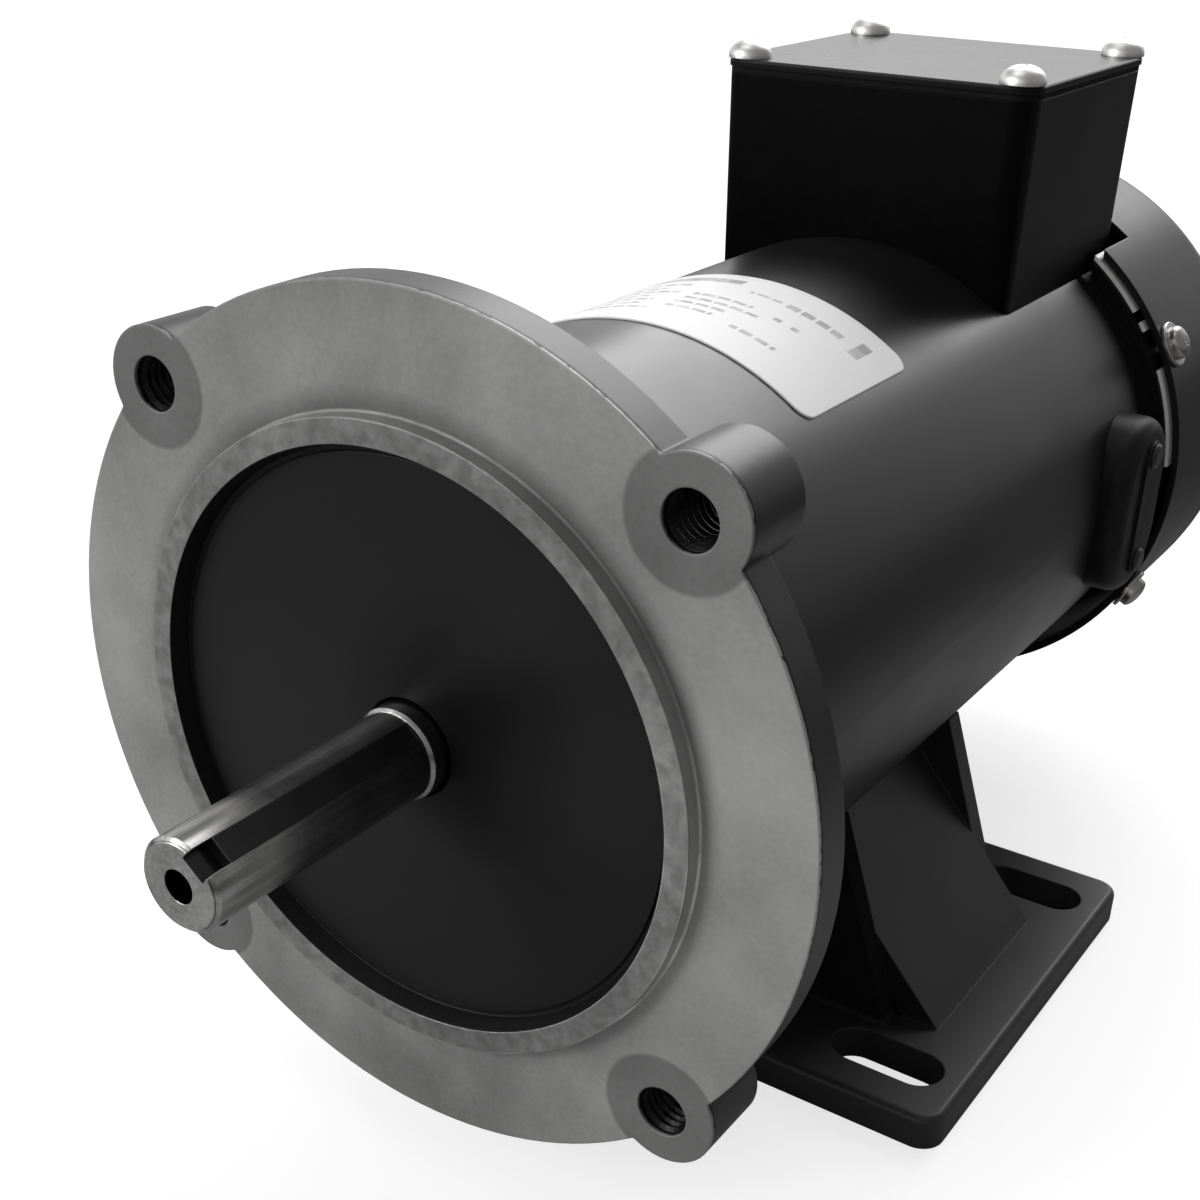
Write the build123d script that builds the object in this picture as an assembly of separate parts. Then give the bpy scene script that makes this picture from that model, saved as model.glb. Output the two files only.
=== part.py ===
"""Permanent magnet DC motor with a C-face flange, a conduit box and a rigid base. Millimetres.

The origin is on the shaft axis in the plane of the mounting face. The shaft points along -Y,
the body lies along +Y and +Z is up. Stations are distances along Y, negative in front of the face.
"""
from build123d import *
import os
from math import cos, radians, sin, sqrt

os.makedirs("parts", exist_ok=True)

# Output shaft and key
shaft_diameter = 15.875
shaft_reach = 52.4
shaft_tip_chamfer = 0.8
centre_hole_diameter = 5.8
centre_hole_depth = 12.0
keyway_width = 4.76
keyway_depth = 2.75
keyway_angle = 40.0
key_clearance = 0.01
key_setback = 4.6
key_end_gap = 0.15

# Ball bearings
bearing_bore = 17.0
bearing_outer_diameter = 40.0
bearing_width = 12.0
bearing_ring_wall = 3.5
bearing_ball_diameter = 6.4
bearing_ball_count = 7
bearing_groove_clearance = 0.3
bearing_shield_thickness = 0.6
shoulder_projection = 3.6
shoulder_chamfer = 0.5

# Mounting face
bolt_circle = 149.225
bolt_hole_diameter = 9.6
flange_diameter = 154.8
flange_thickness = 9.0
flange_edge_chamfer = 1.0
ear_radius = 10.0
ear_length = 16.0
ear_fillet = 0.6
pilot_diameter = 114.3
pilot_height = 3.2
recess_diameter = 105.6
recess_depth = 3.4
recess_wall_draft = 0.9
recess_step_width = 1.0
recess_step_depth = 0.5
web_thickness = 6.0
web_hole_clearance = 0.6
rib_count = 6
rib_thickness = 5.0

# Shaft seal
seal_diameter = 30.0
seal_width = 7.0
seal_setback = 3.2
seal_gap = 1.4
running_gap = 0.3

# Frame tube and end bell spigots
tube_diameter = 114.3
tube_wall = 5.0
tube_length = 194.0
spigot_length = 8.0
spigot_wall = 9.0
spigot_clearance = 0.05
hub_wall = 5.5

# Magnets and armature
magnet_thickness = 7.5
magnet_length = 105.0
magnet_half_angle = 56.0
glue_line = 0.1
air_gap = 0.7
core_length = 85.0
core_slot_count = 16
core_slot_width = 4.2
core_slot_depth = 13.0
core_tooth_lip = 1.6
core_mouth_width = 2.0
shaft_core_diameter = 22.0
winding_overhang = 18.0
winding_crown_share = 0.4
winding_clearance = 3.0

# Commutator and brushes
commutator_diameter = 42.0
commutator_length = 30.0
commutator_bar_count = 32
commutator_slit_width = 0.6
commutator_slit_depth = 1.5
riser_length = 4.0
riser_height = 3.5
brush_setback = 16.0
brush_width = 8.0
brush_height = 12.0
brush_length = 17.0
brush_clearance = 0.3
holder_wall = 3.0
holder_standoff = 3.0
holder_sink = 1.2
window_clearance = 0.4
spring_wire = 0.9
spring_wire_sides = 6
spring_turns = 5
spring_seat_gap = 0.3
cover_plug_length = 4.0

# Oval brush covers on the sides of the tube
brush_cover_height = 41.0
brush_cover_width = 28.0
brush_cover_stand = 5.4
brush_cover_round = 4.0
brush_panel_height = 31.6
brush_panel_width = 8.5
brush_panel_rise = 0.7
brush_screw_pitch = 25.0
brush_screw_diameter = 3.0
brush_screw_head_diameter = 5.6
brush_screw_head_height = 1.0

# Through bolts
through_bolt_diameter = 4.8
through_bolt_inset = 5.2
through_bolt_angle = 18.0
through_bolt_head_diameter = 9.0
through_bolt_head_height = 3.5
through_bolt_engagement = 7.0
bolt_hole_clearance = 0.2
screw_crown_share = 0.55

# Rear end bell
rear_plate_thickness = 6.0
rear_rim_diameter = 123.2
rear_rim_start = 1.8
rear_rim_width = 13.2
rear_rim_chamfer = 1.0
rear_rim_wall = 4.5
rim_relief_depth = 1.4
rim_relief_spans = ((51.0, 53.5), (55.7, 64.5))
air_notch_start = 86.0
air_notch_end = 150.0
rim_box_clearance = 0.8
rear_bearing_setback = 2.0
wave_washer_thickness = 1.2
hub_end_wall = 2.5
hub_end_clearance = 2.0

# Fan
fan_shaft_diameter = 12.0
fan_shaft_length = 30.0
fan_hub_diameter = 26.0
fan_hub_length = 20.0
fan_gap = 5.0
fan_plate_thickness = 2.5
fan_plate_clearance = 9.0
fan_blade_count = 8
fan_blade_thickness = 2.4
fan_blade_width = 16.0
fan_blade_root = 15.0
fan_foot_share = 0.8
ring_thickness = 1.0
ring_wall = 2.4
ring_groove_depth = 0.6

# Fan cover
cover_wall = 1.5
cover_fit = 0.1
cover_start = 5.0
cover_length = 54.0
cover_corner_round = 9.0
cover_notch_clearance = 2.0
cover_notch_reach = 0.8
cover_notch_overrun = 0.001
grille_ring_radii = (17.0, 25.0, 33.0, 41.0)
grille_slot_width = 4.4
grille_spoke_width = 7.0
cover_screw_angle = 61.0
cover_screw_station = 10.0
cover_screw_diameter = 4.0
cover_screw_head_diameter = 7.6
cover_screw_head_height = 2.8
cover_washer_diameter = 10.6
cover_washer_thickness = 0.9
cover_screw_grip = 5.0

# Conduit box
box_length = 67.0
box_width = 71.0
box_rise = 31.2
box_overhang = 19.2
box_wall = 3.0
box_floor = 3.0
box_draft = 1.0
box_corner_radius = 5.0
lid_overlap = 0.4
lid_thickness = 1.6
lid_edge_chamfer = 0.4
gasket_thickness = 1.2
lid_screw_inset = 4.2
lid_screw_diameter = 4.0
lid_screw_head_diameter = 9.4
lid_screw_head_height = 3.0
lid_screw_grip = 9.0
screw_post_diameter = 7.4
conduit_hole_diameter = 22.2
conduit_hole_drop = 15.5
box_screw_inset = 19.5
box_screw_front = 14.0
box_screw_diameter = 4.8
box_screw_head_diameter = 9.0
box_screw_head_height = 3.0
box_boss_diameter = 12.0
box_boss_rise = 2.0
grommet_diameter = 14.0
grommet_flange = 2.2
grommet_flange_thickness = 1.6
grommet_bore = 7.0
earth_screw_diameter = 4.0
earth_screw_head_diameter = 8.0
earth_screw_head_height = 2.6
lead_diameter = 2.8
lead_wall_gap = 0.2
lead_rise = 8.0
lead_start_inset = 6.0
lead_low_turn = 24.0
lead_high_turn = 10.0
lead_bend_radius = 5.0

# Label on the tube
label_start = 60.0
label_length = 41.0
label_half_width = 34.9
label_thickness = 0.35
label_glue = 0.02
label_corner_radius = 3.0

# Base
shaft_height = 88.9
foot_setback = 69.85
foot_pitch = 76.2
foot_plate_thickness = 7.5
foot_plate_end = 5.0
foot_plate_margin = 13.9
foot_plate_corner = 5.0
foot_edge_round = 1.5
foot_slot_spacing = 128.0
foot_slot_length = 24.0
foot_slot_width = 11.0
pedestal_length = 49.0
pedestal_wall = 6.0
pedestal_foot_half = 68.8
pedestal_top_half = 36.5
pedestal_top_drop = 45.0
gusset_thickness = 5.0
gusset_foot_half = 59.5
gusset_top_half = 44.0
gusset_top_drop = 37.5

# Radii and stations that follow from the sizes above
shaft_radius = shaft_diameter / 2
tube_radius = tube_diameter / 2
tube_inner = tube_radius - tube_wall
tube_front = flange_thickness
tube_rear = tube_front + tube_length
magnet_outer = tube_inner - glue_line
magnet_inner = magnet_outer - magnet_thickness
core_radius = magnet_inner - air_gap
spigot_radius = tube_inner - spigot_clearance
recess_floor = recess_depth - pilot_height
seal_front = recess_floor + seal_setback
front_bearing_start = seal_front + seal_width + seal_gap
front_bearing_end = front_bearing_start + bearing_width
rear_bearing_start = tube_rear + rear_bearing_setback
rear_bearing_end = rear_bearing_start + bearing_width
shoulder_front = -shoulder_projection
brush_station = tube_rear - brush_setback
commutator_radius = commutator_diameter / 2
commutator_front = brush_station - commutator_length / 2
core_rear = commutator_front - riser_length - winding_clearance - winding_overhang
core_front = core_rear - core_length
core_middle = (core_front + core_rear) / 2
bearing_seat_radius = bearing_bore / 2
bearing_outer_radius = bearing_outer_diameter / 2
bearing_pitch = (bearing_seat_radius + bearing_outer_radius) / 2
bolt_ring_radius = tube_inner - through_bolt_inset
rear_rim_radius = rear_rim_diameter / 2
rear_rim_front = tube_rear + rear_rim_start
rear_rim_end = rear_rim_front + rear_rim_width
hub_end = rear_bearing_end + wave_washer_thickness + hub_end_wall
shaft_end = rear_bearing_end + fan_shaft_length
fan_front = hub_end + fan_gap
fan_hub_end = fan_front + fan_hub_length
cover_inner = rear_rim_radius + cover_fit
cover_outer = cover_inner + cover_wall
cover_front = tube_rear + cover_start
cover_end = cover_front + cover_length
cover_screw_y = tube_rear + cover_screw_station
box_rear = tube_rear + box_overhang
box_front = box_rear - box_length
box_middle = (box_front + box_rear) / 2
box_top = tube_radius + box_rise
lid_bottom = box_top + gasket_thickness
lid_top = lid_bottom + lid_thickness
foot_middle = foot_setback + foot_pitch / 2
foot_top = foot_plate_thickness - shaft_height
foot_plate_width = foot_slot_spacing + foot_slot_length + 2 * foot_plate_end


def turned(*points):
    """Solid turned about the shaft axis from a closed outline of (radius, station) points."""
    return revolve(make_face(Polyline(*points, close=True)), Axis.Y)


def rod(radius, start, end):
    """Round bar on the shaft axis between two stations."""
    return turned((0, start), (radius, start), (radius, end), (0, end))


def ring(outer, inner, start, end):
    """Round ring on the shaft axis between two stations."""
    return turned((inner, start), (outer, start), (outer, end), (inner, end))


def slab(outline, start, end):
    """Prism of an outline drawn looking along +Y, between two stations."""
    rear = Plane(origin=(0, end, 0), x_dir=(1, 0, 0), z_dir=(0, -1, 0))
    return extrude(rear * outline, end - start)


def upright(radius, x, y, low, high):
    """Round bar that stands along Z."""
    return Pos(x, y, (low + high) / 2) * Cylinder(radius, high - low)


def sideways(radius, low, high, y, z):
    """Round bar that lies along X."""
    return Pos((low + high) / 2, y, z) * Rot(0, 90, 0) * Cylinder(radius, high - low)


def outward(angle, shape):
    """Shape built round +Z, swung about the shaft axis towards +X."""
    return Rot(0, angle, 0) * shape


def pan_screw(shank_radius, shank_length, head_radius, head_height):
    """Screw along -Z with the underside of its crowned head at the origin."""
    crown = screw_crown_share * head_height
    profile = Polyline(
        (0, -shank_length),
        (shank_radius, -shank_length),
        (shank_radius, 0),
        (head_radius, 0),
        (head_radius, head_height - crown),
        (head_radius - crown, head_height),
        (0, head_height),
        close=True,
    )
    return revolve(Plane.XZ * make_face(profile), Axis.Z)


def sector(half_angle, radius, start, end, direction):
    """Wedge about the shaft axis that spans an angle each side of a direction from +Z towards +X."""
    reach = radius * 2
    points = [(0, 0)]
    for step in range(5):
        angle = radians(direction - half_angle + step * half_angle / 2)
        points.append((reach * sin(angle), reach * cos(angle)))
    return slab(make_face(Polyline(*points, close=True)), start, end)


def fused(shapes):
    """Union of a list of shapes."""
    total = shapes[0]
    for shape in shapes[1:]:
        total += shape
    return total


def group(shapes):
    """Separate solids kept together as one node."""
    return Compound([solid for shape in shapes for solid in shape.solids()])


def bolt_places():
    """Centres of the four face holes, looking along +Y."""
    half = bolt_circle / 2 / sqrt(2)
    return [(x * half, z * half) for x in (-1, 1) for z in (-1, 1)]


def through_bolt_places():
    """Centres of the through bolts, two each side of top and bottom."""
    places = []
    for middle in (0, 180):
        for side in (-1, 1):
            angle = radians(middle + side * through_bolt_angle)
            places.append((bolt_ring_radius * sin(angle), bolt_ring_radius * cos(angle)))
    return places


def ear_corners(outline):
    """Corners of the flange outline where an ear meets the disc."""
    corners = ShapeList()
    for vertex in outline.vertices():
        reach = [sqrt((vertex.X - x) ** 2 + (vertex.Y - z) ** 2) for x, z in bolt_places()]
        if min(reach) < ear_radius + ear_fillet:
            corners.append(vertex)
    return corners


def make_front_end_bell():
    """Cast flange: a disc with four ears, the pilot, the sunk web and the hub of the bearing."""
    outline = Circle(flange_diameter / 2)
    for x, z in bolt_places():
        outline += Pos(x, z) * Circle(ear_radius)
    corners = ear_corners(outline)
    if corners:
        outline = fillet(corners, ear_fillet)
    disc = slab(outline, 0, flange_thickness)
    rear_edges = disc.faces().sort_by(Axis.Y)[-1].outer_wire().edges()
    disc = chamfer(rear_edges, flange_edge_chamfer)
    bosses = []
    for x, z in bolt_places():
        boss = slab(Pos(x, z) * Circle(ear_radius), flange_thickness / 2, ear_length)
        bosses.append(chamfer(boss.edges().sort_by(Axis.Y)[-1], flange_edge_chamfer))
    pilot = ring(pilot_diameter / 2, recess_diameter / 4, -pilot_height, flange_thickness)
    web_rear = recess_floor + web_thickness
    spigot_end = tube_front + spigot_length
    spigot = ring(spigot_radius, spigot_radius - spigot_wall, flange_thickness / 2, spigot_end)
    hub_radius = bearing_outer_radius + hub_wall
    hub = rod(hub_radius, recess_floor, front_bearing_end)
    web = rod(spigot_radius, recess_floor, web_rear)
    body = disc + bosses + [pilot, web, spigot, hub]
    for index in range(rib_count):
        rib_length = spigot_radius - spigot_wall / 2 - hub_radius + hub_wall / 2
        rib_middle = hub_radius - hub_wall / 2 + rib_length / 2
        rib_box = Box(rib_length, spigot_end - web_rear + 2 - hub_wall / 2, rib_thickness)
        rib = Pos(rib_middle, (web_rear + spigot_end) / 2 - 1, 0) * rib_box
        body += Rot(0, index * 360 / rib_count, 0) * rib
    recess_radius = recess_diameter / 2
    floor_radius = recess_radius - recess_wall_draft
    step_radius = floor_radius - recess_step_width
    body -= turned(
        (0, -pilot_height - 1),
        (recess_radius, -pilot_height - 1),
        (recess_radius, -pilot_height),
        (floor_radius, recess_floor + recess_step_depth),
        (step_radius, recess_floor + recess_step_depth),
        (step_radius, recess_floor),
        (0, recess_floor),
    )
    body -= rod(bearing_seat_radius + web_hole_clearance, -pilot_height, seal_front)
    body -= rod(seal_diameter / 2, seal_front, front_bearing_start)
    body -= rod(bearing_outer_radius, front_bearing_start, front_bearing_end + 1)
    for x, z in bolt_places():
        body -= slab(Pos(x, z) * Circle(bolt_hole_diameter / 2), -1, ear_length + 1)
    for x, z in through_bolt_places():
        hole = Pos(x, z) * Circle(through_bolt_diameter / 2)
        body -= slab(hole, spigot_end - through_bolt_engagement, spigot_end + 1)
    return body


def make_shaft():
    """Stepped shaft with a chamfered tip, a centre hole and a keyway open at the tip."""
    tip = -shaft_reach
    seat = bearing_seat_radius
    core = shaft_core_diameter / 2
    fan = fan_shaft_diameter / 2
    body = turned(
        (0, tip),
        (shaft_radius - shaft_tip_chamfer, tip),
        (shaft_radius, tip + shaft_tip_chamfer),
        (shaft_radius, shoulder_front),
        (seat - shoulder_chamfer, shoulder_front),
        (seat, shoulder_front + shoulder_chamfer),
        (seat, front_bearing_end),
        (core, front_bearing_end),
        (core, rear_bearing_start),
        (seat, rear_bearing_start),
        (seat, rear_bearing_end),
        (fan, rear_bearing_end),
        (fan, shaft_end),
        (0, shaft_end),
    )
    body -= rod(centre_hole_diameter / 2, tip, tip + centre_hole_depth)
    body -= keyway_bar(keyway_width, tip - 1, shoulder_front, shaft_radius + 1)
    groove = fan_hub_end + ring_thickness
    body -= ring(fan + 1, fan - ring_groove_depth, fan_hub_end, groove)
    return body


def keyway_bar(width, start, end, top):
    """Square bar standing on the keyway's floor."""
    floor = shaft_radius - keyway_depth
    bar = Pos(0, (start + end) / 2, (floor + top) / 2) * Box(width, end - start, top - floor)
    return outward(keyway_angle, bar)


def make_shaft_key():
    """Key whose flat top is level with the edges of the keyway."""
    top = sqrt(shaft_radius**2 - (keyway_width / 2) ** 2)
    start = -shaft_reach + key_setback
    return keyway_bar(keyway_width - 2 * key_clearance, start, shoulder_front - key_end_gap, top)


def bearing_groove(start, extra):
    """Torus of the ball track, larger than the balls by the extra radius."""
    middle = start + bearing_width / 2
    circle = Plane.XY * Pos(bearing_pitch, middle) * Circle(bearing_ball_diameter / 2 + extra)
    return revolve(circle, Axis.Y)


def make_bearing_outer(start):
    """Outer ring with its ball track and a thin shield at each side."""
    end = start + bearing_width
    land = bearing_outer_radius - bearing_ring_wall
    body = ring(bearing_outer_radius, land, start, end)
    shield_inner = bearing_seat_radius + bearing_ring_wall + bearing_groove_clearance
    for side in (start, end - bearing_shield_thickness):
        body += ring(land + bearing_ring_wall / 2, shield_inner, side, side + bearing_shield_thickness)
    return body - bearing_groove(start, bearing_groove_clearance)


def make_bearing_inner(start):
    """Inner ring with its ball track."""
    land = bearing_seat_radius + bearing_ring_wall
    body = ring(land, bearing_seat_radius, start, start + bearing_width)
    return body - bearing_groove(start, bearing_groove_clearance)


def make_bearing_balls(start):
    """Balls held by a thin cage ring."""
    middle = start + bearing_width / 2
    half_wall = bearing_ball_diameter / 6
    half_width = bearing_ball_diameter / 4
    front = middle - half_width
    cage = ring(bearing_pitch + half_wall, bearing_pitch - half_wall, front, middle + half_width)
    ball = Pos(bearing_pitch, middle, 0) * Sphere(bearing_ball_diameter / 2)
    for index in range(bearing_ball_count):
        cage += Rot(0, index * 360 / bearing_ball_count, 0) * ball
    return cage


def make_shaft_seal():
    """Lip seal in the web, clear of the shaft by the running gap."""
    inner = bearing_seat_radius + running_gap
    return ring(seal_diameter / 2, inner, seal_front, seal_front + seal_width)


def make_wave_washer():
    """Preload washer behind the rear bearing's outer ring."""
    inner = bearing_outer_radius - bearing_ring_wall
    end = rear_bearing_end + wave_washer_thickness
    return ring(bearing_outer_radius - running_gap, inner, rear_bearing_end, end)


def brush_pair(shape):
    """A shape built on the +X side and its twin on the -X side."""
    return [shape, Rot(0, 180, 0) * shape]


def make_motor_tube():
    """Rolled frame tube with the brush windows and the holes under the conduit box."""
    body = ring(tube_radius, tube_inner, tube_front, tube_rear)
    window_y = brush_width + 2 * (brush_clearance + holder_wall + window_clearance)
    window_z = brush_height + 2 * (brush_clearance + holder_wall + window_clearance)
    window = Pos(tube_radius, brush_station, 0) * Box(tube_radius / 2, window_y, window_z)
    holes = brush_pair(window)
    for z in (-1, 1):
        place = z * brush_screw_pitch / 2
        hole = sideways(brush_screw_diameter / 2, tube_inner / 2, tube_radius + 1, brush_station, place)
        holes += brush_pair(hole)
    holes.append(upright(grommet_diameter / 2, 0, brush_station, tube_inner / 2, tube_radius + 1))
    for x, y in box_screw_places():
        holes.append(upright(box_screw_diameter / 2, x, y, tube_inner / 2, tube_radius + 1))
    return body - holes


def box_screw_places():
    """Centres of the two screws that hold the conduit box to the tube."""
    x = box_width / 2 - box_screw_inset
    return [(side * x, box_front + box_screw_front) for side in (-1, 1)]


def make_field_magnets():
    """Two arc magnets glued inside the tube, centred on the sides."""
    start = core_middle - magnet_length / 2
    end = core_middle + magnet_length / 2
    shell = ring(magnet_outer, magnet_inner, start, end)
    arcs = [sector(magnet_half_angle, magnet_outer, start, end, side) for side in (90, -90)]
    return group([shell & arc for arc in arcs])


def core_slot_outline():
    """Slot of the armature core: a parallel slot with rounded floor under a narrow mouth."""
    mouth_top = core_radius + 1
    lip = core_radius - core_tooth_lip
    floor = core_radius - core_slot_depth
    mouth = Pos(0, (mouth_top + lip) / 2) * Rectangle(core_mouth_width, mouth_top - lip)
    well = Pos(0, (lip + floor) / 2) * Rectangle(core_slot_width, lip - floor)
    return mouth + well


def make_armature_core():
    """Laminated stack with its winding slots."""
    body = ring(core_radius, shaft_core_diameter / 2, core_front, core_rear)
    slot = slab(core_slot_outline(), core_front - 1, core_rear + 1)
    turn = 360 / core_slot_count
    return body - [Rot(0, index * turn, 0) * slot for index in range(core_slot_count)]


def make_armature_windings():
    """Copper in the slots, joined by the crowned end turns."""
    lip = core_radius - core_tooth_lip
    floor = core_radius - core_slot_depth
    inner = floor - core_tooth_lip
    crown = min(winding_overhang / 2, (lip - inner) * winding_crown_share)
    front_turns = ring(lip, inner, core_front - winding_overhang, core_front)
    rear_turns = ring(lip, inner, core_rear, core_rear + winding_overhang)
    body = [
        fillet(front_turns.faces().sort_by(Axis.Y)[0].edges(), crown),
        fillet(rear_turns.faces().sort_by(Axis.Y)[-1].edges(), crown),
    ]
    bar = Pos(0, core_middle, (lip + floor) / 2) * Box(core_slot_width, core_length, lip - floor)
    for index in range(core_slot_count):
        body.append(Rot(0, index * 360 / core_slot_count, 0) * bar)
    return fused(body)


def make_commutator():
    """Slit copper cylinder with a raised riser ring towards the windings."""
    inner = shaft_core_diameter / 2
    rear = commutator_front + commutator_length
    body = ring(commutator_radius, inner, commutator_front, rear)
    riser_front = commutator_front - riser_length
    body += ring(commutator_radius + riser_height, inner, riser_front, commutator_front)
    reach = commutator_radius + riser_height + 1
    floor = commutator_radius - commutator_slit_depth
    slit = Pos(0, (riser_front + rear) / 2, (reach + floor) / 2) * Box(
        commutator_slit_width, commutator_length + riser_length + 2, reach - floor
    )
    turn = 360 / commutator_bar_count
    return body - [Rot(0, index * turn, 0) * slit for index in range(commutator_bar_count)]


def brush_bar(width, height, low, high):
    """Rectangular bar along +X at the brush station."""
    return Pos((low + high) / 2, brush_station, 0) * Box(high - low, width, height)


def make_brush():
    """Carbon block whose end is hollowed to the commutator, clear of it by the running gap."""
    low = commutator_radius - riser_height
    high = commutator_radius + running_gap + brush_length
    return brush_bar(brush_width, brush_height, low, high) - rod(
        commutator_radius + running_gap, commutator_front - riser_length, tube_rear
    )


def holder_span():
    """Inner and outer ends of the brush holder along its axis."""
    return commutator_radius + holder_standoff, tube_radius - holder_sink


def make_brush_holder():
    """Moulded cartridge that guides the brush and passes through the tube's window."""
    low, high = holder_span()
    guide_width = brush_width + 2 * brush_clearance
    guide_height = brush_height + 2 * brush_clearance
    body = brush_bar(guide_width + 2 * holder_wall, guide_height + 2 * holder_wall, low, high)
    return body - brush_bar(guide_width, guide_height, low - 1, high + 1)


def make_brush_spring():
    """Coil spring between the brush's back and the plug of the access cover."""
    low = commutator_radius + running_gap + brush_length + spring_seat_gap + spring_wire / 2
    high = holder_span()[1] - cover_plug_length - spring_seat_gap - spring_wire / 2
    radius = brush_width / 2 - spring_wire / 2
    path = Helix((high - low) / spring_turns, high - low, radius)
    section = Plane(origin=path @ 0, z_dir=path % 0) * RegularPolygon(spring_wire / 2, spring_wire_sides)
    coil = sweep(section, path=path)
    return Pos(low, brush_station, 0) * Rot(0, 90, 0) * coil


def make_brush_cover():
    """Oval cover on the side of the tube, with a raised panel and a plug in the holder."""
    face = tube_radius + brush_cover_stand
    seat = Plane(origin=(tube_inner, brush_station, 0), x_dir=(0, 0, 1), z_dir=(1, 0, 0))
    body = extrude(seat * SlotOverall(brush_cover_height, brush_cover_width), face - tube_inner)
    body = fillet(body.edges().group_by(Axis.X)[-1], brush_cover_round)
    panel_seat = Plane(origin=(face - 1, brush_station, 0), x_dir=(0, 0, 1), z_dir=(1, 0, 0))
    body += extrude(panel_seat * SlotOverall(brush_panel_height, brush_panel_width), 1 + brush_panel_rise)
    body -= rod(tube_radius, tube_front, tube_rear + brush_cover_width)
    plug = brush_bar(brush_width, brush_height, holder_span()[1] - cover_plug_length, face - 1)
    body += plug
    for z in (-1, 1):
        place = z * brush_screw_pitch / 2
        body -= sideways(brush_screw_diameter / 2, tube_inner / 2, face + 2, brush_station, place)
    return body


def make_brush_cover_screw(z):
    """Screw through the panel into the tube wall."""
    face = tube_radius + brush_cover_stand + brush_panel_rise
    screw = pan_screw(
        brush_screw_diameter / 2, face - tube_inner, brush_screw_head_diameter / 2, brush_screw_head_height
    )
    return Pos(face, brush_station, z * brush_screw_pitch / 2) * Rot(0, 90, 0) * screw


def make_brush_cover_screws():
    """Two screws in each brush cover."""
    return group(brush_pair(make_brush_cover_screw(-1)) + brush_pair(make_brush_cover_screw(1)))


def make_through_bolts():
    """Long bolts from the rear bell's plate into the front bell's spigot."""
    head_front = tube_rear + rear_plate_thickness
    tip = tube_front + spigot_length - through_bolt_engagement
    bolts = []
    for x, z in through_bolt_places():
        shank = slab(Pos(x, z) * Circle(through_bolt_diameter / 2), tip, head_front)
        head = RegularPolygon(through_bolt_head_diameter / 2, 6)
        bolts.append(shank + slab(Pos(x, z) * head, head_front, head_front + through_bolt_head_height))
    return group(bolts)


def make_rear_end_bell():
    """Rear casting: spigot, plate, bearing hub and the turned rim that carries the fan cover."""
    hub_radius = bearing_outer_radius + hub_wall
    plate_end = tube_rear + rear_plate_thickness
    body = turned(
        (0, tube_rear),
        (tube_radius, tube_rear),
        (tube_radius, rear_rim_front),
        (rear_rim_radius - rear_rim_chamfer, rear_rim_front),
        (rear_rim_radius, rear_rim_front + rear_rim_chamfer),
        (rear_rim_radius, rear_rim_end),
        (rear_rim_radius - rear_rim_wall, rear_rim_end),
        (rear_rim_radius - rear_rim_wall, plate_end),
        (hub_radius, plate_end),
        (hub_radius, hub_end),
        (0, hub_end),
    )
    body += ring(spigot_radius, spigot_radius - spigot_wall, tube_rear - spigot_length, tube_rear)
    for index in range(rib_count):
        rib_start = hub_radius - hub_wall / 2
        rib_end = rear_rim_radius - rear_rim_wall / 2
        rib_low = plate_end - 1
        rib_high = rear_rim_end - rear_rim_chamfer
        rib = Pos((rib_start + rib_end) / 2, (rib_low + rib_high) / 2, 0) * Box(
            rib_end - rib_start, rib_high - rib_low, rib_thickness
        )
        body += Rot(0, index * 360 / rib_count, 0) * rib
    body -= rod(bearing_outer_radius, tube_rear - 1, hub_end - hub_end_wall)
    body -= rod(bearing_seat_radius + hub_end_clearance, tube_rear, hub_end + 1)
    low = rear_rim_front - 1
    high = rear_rim_end + 1
    relief = ring(rear_rim_radius + 1, rear_rim_radius - rim_relief_depth, low, high)
    notch = ring(rear_rim_radius + 1, tube_radius, low, high)
    for side in (-1, 1):
        for upper in (0, 180):
            for first, last in rim_relief_spans:
                direction = upper + side * (first + last) / 2
                half = (last - first) / 2
                body -= relief & sector(half, rear_rim_radius, low - 1, high + 1, direction)
        middle = side * (air_notch_start + air_notch_end) / 2
        half = (air_notch_end - air_notch_start) / 2
        body -= notch & sector(half, rear_rim_radius, low - 1, high + 1, middle)
    body -= notch & Pos(0, (rear_rim_front + rear_rim_end) / 2, rear_rim_radius) * Box(
        box_width + 2 * rim_box_clearance, rear_rim_width + 4, rear_rim_radius
    )
    for x, z in through_bolt_places():
        hole = Pos(x, z) * Circle(through_bolt_diameter / 2 + bolt_hole_clearance)
        body -= slab(hole, tube_rear - spigot_length - 1, plate_end + 1)
    for angle in cover_screw_angles():
        body -= outward(angle, upright(cover_screw_diameter / 2, 0, cover_screw_y, 0, rear_rim_radius + 1))
    return body


def cover_screw_angles():
    """Directions of the fan cover's screws from +Z towards +X."""
    return [cover_screw_angle, -cover_screw_angle, 180 - cover_screw_angle, cover_screw_angle - 180]


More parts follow.
